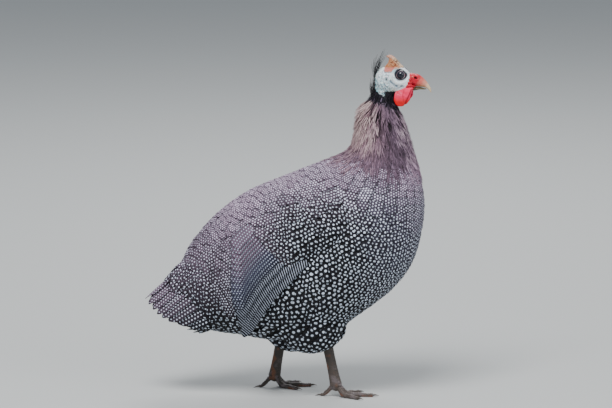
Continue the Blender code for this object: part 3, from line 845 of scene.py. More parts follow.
# %% Kinds of vane: how far along each row lies, how wide it is, and where its columns lie
BROAD = {
    "rows": np.array([0.0, 0.3, 0.58, 0.78, 0.92, 1.0]),
    "outline": np.array([0.42, 0.80, 1.0, 0.94, 0.68, 0.22]), "columns": np.linspace(-1, 1, 5),
    "stray": 0.06, "ruffle": 0.12, "shade": 0.10,
}
POINTED = {
    "rows": np.array([0.0, 0.25, 0.5, 0.72, 0.88, 1.0]),
    "outline": np.array([0.5, 0.9, 1.0, 0.8, 0.45, 0.08]), "columns": np.linspace(-1, 1, 3),
}
HACKLE = {**POINTED, "stray": 0.15, "ruffle": 0.7, "shade": 0.1}
BAND_FEATHER = {**POINTED, "stray": 0.35, "ruffle": 0.4, "shade": 0.2}
VANE_THICK, TIP_TUCK, ROOF = 0.3, 0.35, 0.03
print("rows and columns of a broad vane:", len(BROAD["rows"]), len(BROAD["columns"]))

# %% Lay feathers of the coat
def with_fourth(colours, fourth):
    """Colours with one more number beside each, which a finish reads as Alpha."""
    return np.concatenate([colours, np.broadcast_to(fourth, len(colours))[:, None]], axis=1)


def coat(name, bed, chosen, kind, width, length, root_lift, tip_lift, plain=None):
    """Feathers at chosen places of a bed, as one mesh: dotted, or each of its own plain colour."""
    count, look = len(chosen), bed["look"]
    rows, outline, columns = kind["rows"], kind["outline"], kind["columns"]
    root, normal = bed["places"][chosen], bed["facing"][chosen]
    stray = rng.normal(0, kind["stray"], count)
    lie = unit(look["lie"][chosen] + bed["across"][chosen] * stray[:, None])
    side = np.cross(normal, lie)
    size = 1 + rng.normal(0, 0.05, count)
    u = columns[None, None, :] * outline[None, :, None] * (width * size / 2)[:, None, None]
    v = np.broadcast_to(rows[None, :, None] * length[:, None, None], u.shape)
    flat = root[:, None, None] + side[:, None, None] * u[..., None]
    flat = flat + lie[:, None, None] * v[..., None]
    share = rows[None, :, None]
    tip_lift = np.broadcast_to(tip_lift, count) + rng.normal(0, kind["ruffle"], count)
    lift = root_lift + (tip_lift[:, None, None] - root_lift) * share ** 1.15
    lift = lift - ROOF * width[:, None, None] * columns[None, None, :] ** 2 * share
    lift = np.broadcast_to(lift - np.where(share > 0.95, TIP_TUCK, 0.0), u.shape)
    top = drape(bed, flat.reshape(-1, 3), lift.reshape(-1)).reshape(flat.shape)
    pitch = look["pitch"][chosen][:, None, None]
    dots = np.stack([u / pitch, (length[:, None, None] - v) / pitch - 0.12], axis=-1)
    tone = look["ground"][chosen] if plain is None else plain
    tone = tone * (1 + rng.normal(0, kind["shade"], count)[:, None])
    dot_radius = look["radius"][chosen] if plain is None else np.zeros(count)
    dot_radius = dot_radius * (1 + rng.normal(0, 0.09, count))
    spot = look["spot"][chosen] * (1 + rng.normal(0, 0.12, count))[:, None]
    return vanes_mesh(
        name, top, VANE_THICK, -normal[:, None, None], dots,
        with_fourth(np.clip(tone, 0.002, 1), dot_radius), with_fourth(spot, 0.0),
        bake_patch(root, rows, columns, look["along"][chosen], look["height"][chosen]))


# %% [markdown]
# ## The feather finish
# The vane map counts in dots, so the distance to the nearest whole place draws a round spot, and
# flattening that distance across the vane stretches dots into bars. Every second column of dots
# is moved by half a step, so that they stand in quincunx. Colours and dot size come from what
# each feather was given where it grew. Fine slanting barbs are a wave in the bump.

# %% How far the nearest dot is
def dot_distance(f, vane, across, along, bar):
    """How far a point of the vane is from its nearest dot or bar, in steps between dots."""
    wobble = f.math("MULTIPLY_ADD", f.noise(1.7, 2.0, vane), 0.22, -0.11)
    dotty = f.math("SUBTRACT", 1.0, bar)
    slant = f.times(f.times(across, bar), 0.45)
    stagger = f.times(f.math("FLOOR", across), 0.5)
    slant = f.plus(slant, f.times(stagger, dotty))
    u = f.times(f.plus(f.math("FRACT", across), -0.5), dotty)
    v = f.plus(f.math("FRACT", f.plus(along, slant)), -0.5)
    away = f.math("SQRT", f.plus(f.times(u, u), f.times(v, v)))
    return f.plus(away, wobble)


# %% Plumage finish
def plumage(name, barbs=1.0, streak=0.0):
    """Feather with dots on its ground, fine barbs and, where asked for, pale and dark strands."""
    f = Finish(name, 0.70)
    ground, spot = f.attribute("ground"), f.attribute("spot")
    vane = f.add("UVMap", {"uv_map": "Vane"})
    across, along, _ = f.add("SeparateXYZ", None, {0: vane}).node.outputs
    radius = ground["Alpha"]
    away = dot_distance(f, vane, across, along, spot["Alpha"])
    away = f.math("SUBTRACT", away, radius)
    dotted = f.math("GREATER_THAN", radius, 0.04)
    inside = f.times(f.step(away, -0.05, 0.05), dotted)
    halo = f.times(f.step(away, 0.02, 0.20), dotted)
    base = f.mottled(ground["Color"], 420, 3.0, (0.70, 0.69, 0.70), (1.28, 1.25, 1.27))
    if streak:
        strand = f.noise(1.0, 3.0, f.add("Mapping", None, {"Vector": vane, "Scale": (5, 0.6, 1)}))
        base = f.mix(streak, base, f.mix(
            f.step(strand, 0.30, 0.62), (1.5, 1.45, 1.45, 1), (0.22, 0.2, 0.22, 1)), "MULTIPLY")
    dark = f.mix(f.times(halo, 0.5), base, (0.006, 0.006, 0.009, 1))
    colour = f.mix(inside, dark, spot["Color"])
    barb = f.plus(f.math("ABSOLUTE", across), f.times(along, 0.8))
    barb = f.times(f.math("SINE", f.times(barb, 26.0)), 0.5 * barbs)
    f.bump(f.plus(barb, f.noise(900, 2.0)), 0.5, 0.0004)
    return f.wear(Base_Color=colour, Sheen_Weight=0.04, Sheen_Roughness=0.4,
                  Specular_IOR_Level=0.16)


spotted = plumage("spotted_plumage")
wispy = plumage("wispy_plumage", 0.6, 0.6)
print("plumage finishes:", spotted.name, wispy.name)

# %% [markdown]
# ## Contour feathers
# The broad feathers of back, breast, wing and flank carry the dots. On a real bird the largest
# hold two or four across, so a feather is made that many dots wide, and a little wider where it
# slips under its neighbours. The wing's coverts, the back, the breast and the rump become pieces
# of their own, so that each can be picked up and studied alone.

# %% Contour feathers of the body
COARSE_DOTS = 4.4
EASE_ACROSS, EASE_ALONG = 0.98, 1.155
look, places = body_bed["look"], body_bed["places"]
coarse = look["pitch"] > COARSE_DOTS
wide = look["pitch"] * np.where(coarse, 2.0, 4.0) * EASE_ACROSS
long_step = look["pitch"] * np.where(coarse, 1.0, 2.0) * EASE_ALONG
kept = keep_spaced(body_bed, wide, long_step, look["neck"] < 0.6)
print("contour feathers:", len(kept))

# %% Lay them, piece by piece
x = places[kept, 0]
vent = np.exp(-((places[:, 0] + 106) / 15) ** 2) * smoothstep(118, 96, places[:, 2])
over_tail = smoothstep(1.9, 0.7, look["along"]) * smoothstep(0.0, 0.5, look["height"])
parts = {
    "coat_wings": look["wing"][kept] > 0.5,
    "coat_back": look["mauve"][kept] > 0.45,
    "coat_breast": x > 85,
    "coat_rump": x < -60,
    "coat_flanks": np.ones(len(kept), bool),
}
taken = np.zeros(len(kept), bool)
for name, mask in parts.items():
    chosen = kept[mask & ~taken]
    taken |= mask
    width = wide[chosen] * np.where(coarse[chosen], 1.25, 1.5)
    length = (long_step[chosen] * 2.1 + 3.5) * (1 + 0.8 * over_tail[chosen])
    tip_lift = 3.0 - 0.9 * look["mauve"][chosen] + 5.0 * vent[chosen] + 1.5 * over_tail[chosen]
    vanes = coat(name, body_bed, chosen, BROAD, width, length, 0.5, tip_lift)
    piece(name, vanes, spotted, "plumage")

# %% [markdown]
# ## Hackles of the neck
# The neck wears long, soft, plain mauve feathers that hang over each other, ragged at their ends.
# Narrow vanes with pointed tips, closely set and each turned a little at random, give the wispy
# look. Lower down they thin out over the first dotted feathers. At the nape they stand off in a
# loose collar, so the lift grows towards the top and back, and gaps there get painted shade.

# %% Where hackles root
HACKLE_APART, HACKLE_LONGER = 1.25, 2.3
thinned = rng.random(len(places)) < smoothstep(-0.02, 0.55, look["neck"])
step = np.full(len(places), HACKLE_APART)
on_neck = (look["neck"] > 0.02) & thinned & (look["collar"] < 1.0)
hackles = keep_spaced(body_bed, step, step * HACKLE_LONGER, on_neck)
top_of_neck = smoothstep(-45, 0, look["collar"][hackles])
high = smoothstep(0.25, 1.0, look["neck"][hackles]) * smoothstep(-75, -30, look["collar"][hackles])
height = look["height"][hackles]
behind = smoothstep(-0.2, 0.9, height)
clump = grain(places[hackles] * np.array([1, 1, 0.45]), 0.20, 5.0)
print("hackles:", len(hackles))

# %% Colours of the hackles: paler behind, in clumps, towards beige at the nape; paler in front as painted rim light, and painted shade in gaps
WARMER = np.array([1.10, 0.97, 0.84])
BEIGE = np.array([0.54, 0.43, 0.49])
BEIGE_BEHIND = np.array([0.09, 0.05, -0.03])
# The term for the front edge (height below -0.5) is painted rim light
light = 1 + 2.3 * smoothstep(0.1, 0.95, height) + 2.4 * smoothstep(-0.5, -1.0, height)
light = 1 + (light - 1) * (0.35 + 0.65 * high)
in_strands = smoothstep(-0.3, 0.2, clump) * (1 - 0.6 * top_of_neck)
light = light + 1.7 * smoothstep(-0.15, -0.6, height) * in_strands
uneven = 1 + (0.4 + 0.6 * high) * clump + rng.normal(0, 0.18, len(hackles))
tone = NECK_MAUVE * (light * uneven)[:, None]
# Painted shade: on top of the neck, hackles lying low in the gaps between raised clumps are darkened
tone = tone * (1 - 0.85 * top_of_neck * smoothstep(0.0, -0.25, clump))[:, None]
tone = tone * WARMER ** (1.2 * behind * (0.35 + 0.65 * high))[:, None]
beige = BEIGE + behind[:, None] * BEIGE_BEHIND
tone = tone + (beige - tone) * (smoothstep(0.25, 0.52, tone.max(1)) * (0.3 + 0.7 * high))[:, None]
print("palest hackle:", tone.max(0).round(2))

# %% Lay the hackles
length = rng.uniform(16, 27, len(hackles)) * (1 - 0.25 * top_of_neck)
stand_off = 2.7 + (1.0 + 4.4 * behind) * top_of_neck * smoothstep(-0.3, 0.1, clump)
right = places[hackles, 1] < 0
for hand, mask in (("right", right), ("left", ~right)):
    vanes = coat(f"hackles_{hand}", body_bed, hackles[mask], HACKLE,
                 rng.uniform(0.8, 1.9, mask.sum()), length[mask], 0.4, stand_off[mask],
                 np.maximum(tone, 0.010)[mask])
    piece(f"hackles_{hand}", vanes, wispy, "neck_plumage")

# %% [markdown]
# ## Skin under the coat
# Only glimpses of it show between feathers. It carries the same markings as the coat, ground and
# dots blended by how much of the feather the dots cover, but duller, so that a gap never glares.

# %% Skin piece
points, normals, _ = read_mesh(body_skin)
marks = zones(points, normals)
cover = (math.pi * marks["radius"] ** 2 * smoothstep(5.5, 3.5, marks["pitch"]))[:, None]
# The ground brings the painted shade along the wing's rear edge onto the skin too
tint = marks["ground"] * (1 - cover) + marks["spot"] * cover
set_points(body_skin, points, np.clip(tint * (0.5 + 0.35 * marks["mauve"])[:, None], 0.008, 1))
under = Finish("under_down", 0.9)
under.bump(under.noise(500, 3.0), 0.6, 0.001)
down = under.wear(Base_Color=under.painted(160, 4.0, 0.6, 1.3))
piece("body_skin", body_skin, down, "plumage", "torso", "neck", "thigh_left", "thigh_right")

# %% [markdown]
# ## Flight feathers of the folded wing
# Below the coverts the secondaries fan out as long curved bands, each overlapping the one below.
# The upper ones are bluish grey with tiny dots, and on the lowest the dots run together into thin
# slanting bars. Each feather follows its own curve between the wing's two guides.

# %% One wing feather
FLIGHT_COLUMNS = np.linspace(-1, 1, 7)
FLIGHT_ROWS = 26
FLIGHT_WIDE = 19.0


def run_along(line):
    """How far along a line through listed points each of them lies."""
    return np.concatenate([[0], np.cumsum(np.linalg.norm(np.diff(line, axis=0), axis=1))])


def flight_vane(side, share, start, end, lift, tilt):
    """Top grid of one wing feather, places across and along it, and its middle line."""
    t = np.linspace(0, 1, FLIGHT_ROWS)
    run = start + (end - start) * t
    middle = wing_curve(share, run)
    way = unit(wing_curve(share, run + 0.01) - middle)
    up = np.stack([way[:, 1], -way[:, 0]], axis=1)
    round_tip = np.sqrt(np.clip(1 - np.clip((t - 0.86) / 0.14, 0, 1) ** 2, 0.03, 1))
    taper = np.minimum(0.55 + t * 1.6, 1.0) * round_tip
    reach = FLIGHT_COLUMNS[None, :] * (FLIGHT_WIDE / 2) * taper[:, None]
    flat = middle[:, None] + up[:, None] * reach[..., None]
    sink = 4.0 * np.clip(1 - t / 0.25, 0, 1)
    top = np.empty((*reach.shape, 3))
    for i, j in np.ndindex(reach.shape):
        px, pz = flat[i, j]
        top[i, j] = (px, side * out_from_middle(px, pz, lift - tilt * reach[i, j] - sink[i]), pz)
    return top, reach, np.broadcast_to(run_along(middle)[:, None], reach.shape), middle


# %% Lay the secondaries, each by its share of the way from the lowest to the highest
FLIGHT_SHARES = [0.0, 0.13, 0.25, *np.linspace(0.34, 0.86, 12)]
BAR_TINT = np.array([0.90, 0.88, 0.93])
for side, hand in ((-1, "right"), (1, "left")):
    feathers = []
    for share in FLIGHT_SHARES:
        end = 1.0 - 0.17 * smoothstep(0.35, 0.95, share)
        lift = 6.4 - 2.6 * smoothstep(0.3, 0.0, share)
        tilt = 0.13 if share else -0.12
        top, reach, length, middle = flight_vane(
            side, share, coverts_end(share) - 0.17, end, lift, tilt)
        bars = smoothstep(0.36, 0.28, share)
        pitch = 3.7 - 0.2 * bars
        ground = BLACK + (BLUE_GREY - BLACK) * smoothstep(0.2, 0.5, share)
        ground = ground + (MAUVE * 0.62 - ground) * smoothstep(0.45, 0.75, share)
        bar_white = WHITE * BAR_TINT * (1.0 - 0.2 * share - 0.12 * bars)
        feathers.append((
            top, np.stack([reach / pitch, length / pitch], axis=-1),
            [*ground, 0.235 - 0.095 * bars], [*bar_white, bars], middle[len(middle) // 2]))
    tops, counts, tones, spots, roots = zip(*feathers)
    order = np.arange(len(roots)) + (len(roots) if side > 0 else 0)
    roots = np.array([(x, side * 80.0, z) for x, z in roots])
    along, height, _, _ = read_side_map(roots).T
    patch = bake_patch(roots, np.linspace(0, 1, FLIGHT_ROWS), FLIGHT_COLUMNS,
                       along, height - 0.01 * order / (2 * len(roots)))
    vanes = vanes_mesh(f"flight_{hand}", tops, 0.5, [0, -side, 0], counts, tones, spots, patch)
    piece(f"flight_{hand}", vanes, spotted, "plumage", f"wing_{hand}")

# %% [markdown]
# ## Tail feathers
# The tail is short and droops. Its fifteen feathers roof each other from the middle one down, and
# the coverts already laid on the tail's root hide where they start. Roots and tips are the same
# as in the solids, but for the lowest pairs, which are trimmed a little shorter and end in points.

# %% Roots and tips, from the middle feather to the lowest
TAIL_FEATHERS = np.array([
    ((-122, 0, 187), (-194.5, 0, 127)), ((-122, 11, 184), (-191, 8, 122)),
    ((-121, 20, 176), (-186, 14, 115)), ((-119, 27, 165), (-180, 19.5, 109.5)),
    ((-116, 32, 152), (-173, 24, 106)), ((-112, 35, 138), (-163, 27.5, 103)),
    ((-108, 36.5, 124), (-151, 30, 100)), ((-104, 37, 111), (-137, 31.5, 97)),
])
LOWEST = len(TAIL_FEATHERS) - 1
TAIL_WIDE = 19.0
TAIL_ROWS = 18
print("tail feathers:", 2 * LOWEST + 1)

# %% One tail feather
def tail_guide(place):
    """Root and tip of a tail feather, also between or beyond the listed ones."""
    i = int(np.clip(place, 0, LOWEST - 1))
    return TAIL_FEATHERS[i] + (TAIL_FEATHERS[i + 1] - TAIL_FEATHERS[i]) * (place - i)


def tail_vane(place, sign):
    """Top grid of one tail feather, places across and along it, and which way is down."""
    root, tip = tail_guide(place)
    tip = tip + (root - tip) * rng.uniform(0.0, 0.05)
    near_root, near_tip = tail_guide(place + 0.5)
    run = unit(tip - root)
    cross = (near_root - root + near_tip - tip) / 2
    cross = unit(cross - run * (cross @ run))
    if place == 0:
        cross = np.array([0.0, 1.0, 0.0])
    out = np.cross(cross, run)
    t = np.linspace(0, 1, TAIL_ROWS)
    taper = np.minimum(0.6 + t, 1.0) * np.clip(1 - np.clip((t - 0.74) / 0.26, 0, 1) ** 2.2, 0.12, 1)
    reach = FLIGHT_COLUMNS[None, :] * TAIL_WIDE / 2 * taper[:, None]
    bow = (3.5 * np.sin(math.pi * t) - 5.0 * (1 - t) ** 2)[:, None]
    height = 1.6 - 0.046 * reach ** 2 if place == 0 else 0.13 * reach
    lift = (bow + height)[..., None]
    top = root + (tip - root) * t[:, None, None] + cross * reach[..., None] + out * lift
    length = np.broadcast_to((t * np.linalg.norm(tip - root))[:, None], reach.shape)
    mirror = np.array([1, sign, 1])
    return top * mirror, reach, length, -out * mirror


# %% Lay the tail
feathers = []
for sign, place in [(1, 0)] + [(s, p) for s in (-1, 1) for p in range(1, LOWEST + 1)]:
    top, reach, length, below = tail_vane(place, sign)
    low = place / LOWEST
    pitch = 4.0 + 0.8 * low
    tone = MAUVE * 0.58 * (1 - low) + BLACK * 2 * low
    white = PALE_MAUVE + (WHITE - PALE_MAUVE) * (0.4 + 0.6 * low)
    feathers.append((top, below, np.stack([reach / pitch + 0.5, length / pitch], axis=-1),
                     [*tone, 0.22], [*white, 0.0]))
tops, downs, counts, tones, spots = (np.array(column) for column in zip(*feathers))
patch = bake_patch(tops[:, 4, 3], np.linspace(0, 1, TAIL_ROWS), FLIGHT_COLUMNS)
vanes = vanes_mesh(
    "tail_feathers", tops, 0.5, downs[:, None, None], counts, tones, spots, patch)
piece("tail_feathers", vanes, spotted, "plumage", "tail")

# %% [markdown]
# ## The bare head
# The head wears no feathers, so every fold shows. Its form is a loft of ovals like the body, welded
# to the top of the throat by a fine voxel remesh, and then sculpted by rule: each lid, fold and
# groove raises or sinks the skin near a point or a line drawn in side view. The whole head was
# turned eight degrees about the neck, so rules are worked in its unturned frame.

# %% Head tables
HEAD = [
    (117.7, 435.2, 118.4, 427.6, 4.4), (120.6, 441.2, 122.9, 416.7, 12),
    (126.2, 446.7, 130.6, 411.8, 15.4), (134.9, 449.8, 140.4, 410.7, 16.5),
    (145.8, 451.3, 150.1, 411.3, 16.6), (155, 449.7, 158.3, 413.4, 15),
    (162.1, 444.8, 164.3, 416.7, 12.3), (166.9, 439.3, 168, 420, 9.4),
]
HEAD_YAW = math.radians(-8)
HEAD_PIVOT = np.array([128.4, 0.0, 424.3])
EYE = np.array([155.0, 10.3, 440.6])
EYE_RADIUS = 6.7
EAR = (135.6, 434.0)
NOSTRIL = (174.6, 436.1)
print("head rings:", len(HEAD), "with the eye at", EYE)


def turn_head(points, back=False):
    """Turns points with the head, or back into its own straight frame."""
    c, s = math.cos(HEAD_YAW), math.sin(HEAD_YAW) * (-1 if back else 1)
    d = np.asarray(points, float) - HEAD_PIVOT
    return HEAD_PIVOT + np.stack(
        [c * d[..., 0] - s * d[..., 1], s * d[..., 0] + c * d[..., 1], d[..., 2]], axis=-1)


def head_part(rows, rings, around):
    """A loft turned with the head: mesh, points, normals, and the points' unturned places."""
    mesh = skin_over(turn_head(loft(rows, rings, around)))
    points, normals, _ = read_mesh(mesh)
    return mesh, points, normals, turn_head(points, back=True).T


# %% Folds drawn in side view: points, depth and half width
FOLDS = [
    ([(141.8, 432.4), (145.3, 427.7), (151.4, 424.9), (157.1, 425.1)], 0.7, 1.5),
    ([(148.8, 421.3), (153.2, 423.2), (158.0, 425.1)], 0.7, 0.7),
    ([(133.4, 438.8), (136.1, 440.4), (138.7, 438.9), (138.4, 435.9)], 0.8, 0.6),
    ([(140.5, 436.8), (141.9, 432.4), (140.5, 427.1), (137.8, 424.6)], 0.6, 0.55),
    ([(132.3, 435.7), (131.4, 431.3), (133.2, 426.9), (136.5, 423.3)], 0.7, 0.6),
    ([(133.7, 426.9), (137.8, 422.5), (143.1, 419.1)], 0.6, 0.6),
    ([(128.2, 444.4), (130.4, 440.1), (129.9, 433.9), (127.8, 430.3)], 0.5, 0.8),
    ([(123.5, 439.0), (122.5, 432.0), (124.8, 423.6), (129.5, 416.7)], 0.6, 0.7),
    ([(120.6, 431.9), (120.6, 424.0), (123.4, 417.9), (127.8, 413.6)], 0.5, 0.6),
    ([(127.8, 427.7), (130.4, 420.7), (133.9, 415.5)], 0.6, 0.6),
    ([(144.0, 446.6), (144.6, 450.1), (148.8, 451.5)], 0.6, 0.7),
    ([(165.9, 433.0), (168.2, 437.5), (169.1, 441.2)], 0.6, 0.6),
    ([(144.4, 439.5), (143.5, 436.0), (145.3, 431.6)], 0.4, 0.8),
]
CHEEK_FOLD = FOLDS[0][0]
print("folds:", len(FOLDS))

# %% Weld the head to the throat
THROAT_FROM = 14.0
throat_depth = np.interp(
    np.linspace(THROAT_FROM, len(BODY) - 1, 36), [THROAT_FROM, 15.3, 16.4], [5.5, 3.2, 1.0])
head_skin = welded(
    0.62, 10, skin_over(turn_head(loft(HEAD, 60, 96, 0.06))),
    skin_over(loft(BODY, 36, 72, 0.05, throat_depth, first=THROAT_FROM)))
world_co, world_normal, _ = read_mesh(head_skin)
local = turn_head(world_co, back=True)
hx, hy, hz = local.T
flank = smoothstep(5.0, 9.0, np.abs(hy))
rear = smoothstep(146, 136, hx)
print("head skin:", len(head_skin.polygons), "faces")

# %% Lids, brow and ear, by distance from the eye and the ear
rho = np.hypot((hx - EYE[0]) / 1.06, (hz - EYE[2]) / 0.95)
above = (hz - EYE[2]) / np.maximum(rho, 0.1)
behind_eye = (EYE[0] - hx) / np.maximum(rho, 0.1)
over = np.maximum(above, 0)
lid = 1.35 * hill(rho, 6.8, 0.95) * (1 + 0.35 * above)
lid_groove = 0.75 * hill(rho, 9.0, 0.7)
brow_ridge = 1.3 * hill(rho, 11.1, 1.4) * smoothstep(-0.1, 0.6, above)
cheek_swell = 0.5 * hill(rho, 11.5, 1.5) * smoothstep(0.1, 0.7, -above)
ear_far = np.hypot(hx - EAR[0], (hz - EAR[1]) / 1.25)
ear = 0.9 * hill(ear_far, 3.1, 0.8) - 2.6 * hill(ear_far, 0, 1.5)
rise = lid - lid_groove + brow_ridge + cheek_swell + ear
print("deepest and highest by eye and ear:", rise.min().round(2), rise.max().round(2), "mm")

# %% Loose wrinkled skin behind the cheek, and the folds across it
gx, gz = hx + 1.0 * grain(world_co, 0.17, 21.0), hz + 1.0 * grain(world_co, 0.17, 33.0)
fine = grain(world_co, 0.55)
streak = grain(np.stack([hx * 1.5, hy * 0.7, hz * 0.5], axis=1), 0.65, 14.0)
loose = smoothstep(157, 143, hx - 0.25 * (hz - 430)) * smoothstep(446, 434, hz) * flank
veins = np.abs(grain(world_co * np.array([1, 1, 1.25]), 0.40, 71.0) + 0.10 * fine)
crepe = smoothstep(0.17, 0.02, veins) * loose
tufts = smoothstep(0.05, 0.30, grain(world_co, 0.46, 83.0)) * loose
whole = 0.3 + 0.7 * smoothstep(-0.30, 0.25, grain(world_co, 0.21, 12.0))
# How deep in a fold's groove each point lies; the grooves are painted darker as shade
crease_shade = np.zeros(len(hx))
for line, depth, width in FOLDS:
    away = near_line(gx, gz, line)
    crepe = crepe * (1 - 0.8 * hill(away, 0, 2.0))
    tufts = tufts * (1 - 0.8 * hill(away, 0, 1.6))
    groove = hill(away, 0, width) * whole
    rise += depth * (0.45 * hill(away, 1.9 * width, 0.8 * width) * whole - groove)
    crease_shade = np.maximum(crease_shade, groove * min(1.25 * depth, 1.0))
print("share of the head in a fold:", crease_shade.mean().round(3))

# %% Move the head's points
SOCKET_DEPTH = 5.5
SKIRT = [(132.5, 443.6), (142, 444.0), (145, 446.5), (157.5, 450.0)]
rise += 0.7 * hill(near_line(hx, hz, [(x, z + 1.6) for x, z in SKIRT]), 0, 1.5)
rise += 0.45 * tufts - 0.55 * crepe
pores = 0.35 * (0.35 - np.abs(fine))
rise = rise * flank + pores + 0.12 * grain(world_co, 1.7, 9.0) + 0.4 * rear * streak
moved = world_co + world_normal * rise[:, None]
sunk = turn_head(np.stack([hx, hy - np.sign(hy) * SOCKET_DEPTH, hz], axis=1)) - turn_head(local)
moved = moved + sunk * (smoothstep(6.0, 5.2, rho) * flank)[:, None]
print("sculpted by up to", np.abs(rise).max().round(2), "mm")

# %% [markdown]
# ## Colours of the head
# The face is chalk white, washed with pale blue towards the nape and over the eye, with painted
# shade in its creases and under the eye, a crimson base to the bill and a black throat. Each wash
# is a colour and a share that fades with distance from a line or a height, laid in the order in
# which a painter would.

# %% White and blue of the face, and painted shade in its creases and under the eye
PALE_FACE = np.array([0.90, 0.95, 0.98])
PALE_BLUE = np.array([0.30, 0.62, 0.68])
FOLD_GREY = np.array([0.050, 0.085, 0.120])
blue = smoothstep(150, 126, hx) * smoothstep(446, 420, hz)
over_eye = hill(rho, 10.4, 1.3) * smoothstep(-0.1, 0.5, above) * flank
# Painted shadow: a broad soft grey-blue band under the eye, along the cheek fold
under_eye_shade = hill(near_line(gx, gz, CHEEK_FOLD), 0, 2.4) * flank
patchy = smoothstep(-0.5, 0.1, grain(world_co, 0.3, 51.0))
specks = smoothstep(0.18, 0.42, grain(world_co * np.array([1, 1, 0.7]), 0.95, 4.0))
olive = smoothstep(8, 2, np.hypot(hx - 144, (hz - 419.5) * 1.4))
olive = olive * smoothstep(-0.1, 0.25, grain(world_co, 1.1, 2.0))
tint = washed(
    PALE_FACE,
    (PALE_BLUE, np.clip(0.80 * blue + (0.25 + 1.1 * rear) * streak, 0, 0.95)),
    ((0.95, 0.98, 0.97), 0.6 * smoothstep(0.05, 0.4, grain(world_co, 0.35, 44.0))),
    (PALE_BLUE * 1.1, 0.85 * over_eye),
    ((0.24, 0.36, 0.47), 0.9 * under_eye_shade * patchy),
    ((0.11, 0.25, 0.31), 0.95 * crepe),
    ((0.97, 0.99, 0.98), 0.75 * tufts),
    # Painted shade in the grooves of the folds
    (FOLD_GREY, 0.95 * crease_shade * flank),
    (FOLD_GREY * 1.3, specks * (0.8 * smoothstep(430, 416, hz) * rear + 0.45 * rear)),
    ((0.17, 0.19, 0.06), 0.8 * olive * flank),
    # Painted shade inside the ear opening
    ((0.03, 0.035, 0.045), 0.9 * hill(ear_far, 0, 1.7) * flank),
)
print("mean face:", tint.mean(0).round(2))

# %% Lids, brow and the seam under the casque
DARK_LID = np.array([0.014, 0.018, 0.030])
BROW = [(157, 450), (163, 445.5), (167.5, 440.5)]
SKIRT_TOP = [(130, 133, 142, 145, 150, 157, 159), (447.0, 443.6, 444.0, 446.5, 448.2, 450.0, 451.5)]
lid_reach = 7.7 + 0.6 * over + 1.0 * smoothstep(0.5, 1.0, 0.75 * behind_eye + 0.65 * above)
brow = hill(near_line(hx, hz, BROW), 0, 1.6)
seam = hz - np.interp(hx, *SKIRT_TOP) + 0.6 * fine
under_casque = smoothstep(-0.5, 0.5, seam) * smoothstep(130.5, 132.5, hx) * smoothstep(159, 157, hx)
seam_shadow = hill(seam, -0.5, 0.55) * (hx > 131) * smoothstep(145, 142, hx) * flank
tint = washed(
    tint,
    (DARK_LID, smoothstep(lid_reach + 0.4, lid_reach - 0.4, rho) * flank),
    ((0.12, 0.09, 0.095), smoothstep(6.3, 6.0, rho + 0.9 * over) * flank),
    ((0.50, 0.36, 0.42), 0.7 * brow * smoothstep(-0.2, 0.2, grain(world_co, 0.9, 6.0))),
    ((0.62, 0.20, 0.16), under_casque * smoothstep(152, 144, hx)),
    ((0.66, 0.42, 0.28), under_casque * smoothstep(144, 152, hx)),
    ((0.10, 0.035, 0.045), 0.8 * seam_shadow),
)
print("dark lid reaches", lid_reach.max().round(1), "mm from the eye's middle")

# %% Red in front, black throat, band and nape
FACE_RED = np.array([0.58, 0.005, 0.026])
RED_EDGE = [(418, 424, 427, 430, 433, 442), (161, 161.8, 163.5, 166.0, 167.6, 168.0)]
BAND_TOP = [(108, 112, 116, 121.3, 127.5, 133.6, 150), (436, 430, 424.5, 417.5, 413.0, 409.5, 405)]
throat_black = smoothstep(131.0, 134.5, hx + 0.3 * fine) * smoothstep(418.6, 416.6, hz + 1.2 * fine)
band_far = hz - np.interp(hx, *BAND_TOP) + 2.2 * fine + 1.6 * streak
nape = smoothstep(6.0, 2.5, np.abs(hy)) * smoothstep(127, 121, hx) * smoothstep(449, 441, hz)
tint = washed(
    tint,
    (FACE_RED, smoothstep(-0.8, 0.5, hx - np.interp(hz, *RED_EDGE))),
    ((0.006, 0.006, 0.009), throat_black),
    ((0.014, 0.012, 0.020), smoothstep(1.3, -1.3, band_far)),
    ((0.03, 0.03, 0.04), 0.85 * nape),
)
set_points(head_skin, moved, tint)
print("the head wears", len(tint), "painted points")

# %% Bare skin finish
def flesh(name, roughness, pores, depth, coat=0.0, soft=0.0):
    """Living skin: its painted tint, mottled a little, with fine pores in the bump."""
    f = Finish(name, roughness)
    colour = f.painted(pores * 0.35, 4.0, 0.80, 1.14)
    f.bump(f.plus(f.noise(pores, 4.0), f.add(
        "TexVoronoi", {"feature": "DISTANCE_TO_EDGE"}, {"Scale": pores * 0.8})), 0.5, depth)
    rough = f.math("MULTIPLY_ADD", f.noise(pores * 0.5, 2.0), 0.25, roughness - 0.12)
    return f.wear(Base_Color=colour, Roughness=rough, Coat_Weight=coat, Coat_Roughness=0.3,
                  Subsurface_Weight=soft, Subsurface_Radius=(0.003, 0.0012, 0.0008),
                  Specular_IOR_Level=0.25)


face_skin = flesh("face_skin", 0.55, 700, 0.0005, 0.0, 0.12)
red_flesh = flesh("red_flesh", 0.45, 520, 0.0005, 0.06, 0.08)
piece("head_skin", head_skin, face_skin, "bare_skin", "head", "throat")

# %% [markdown]
# ## Eyes
# From outside, a guinea fowl's eye is one dark, wet dome with a thin brown ring. A ball with its
# front drawn out a little for the cornea, painted by the angle from its axis and very glossy, is
# all that it needs; the lids are part of the head's skin and close around it.

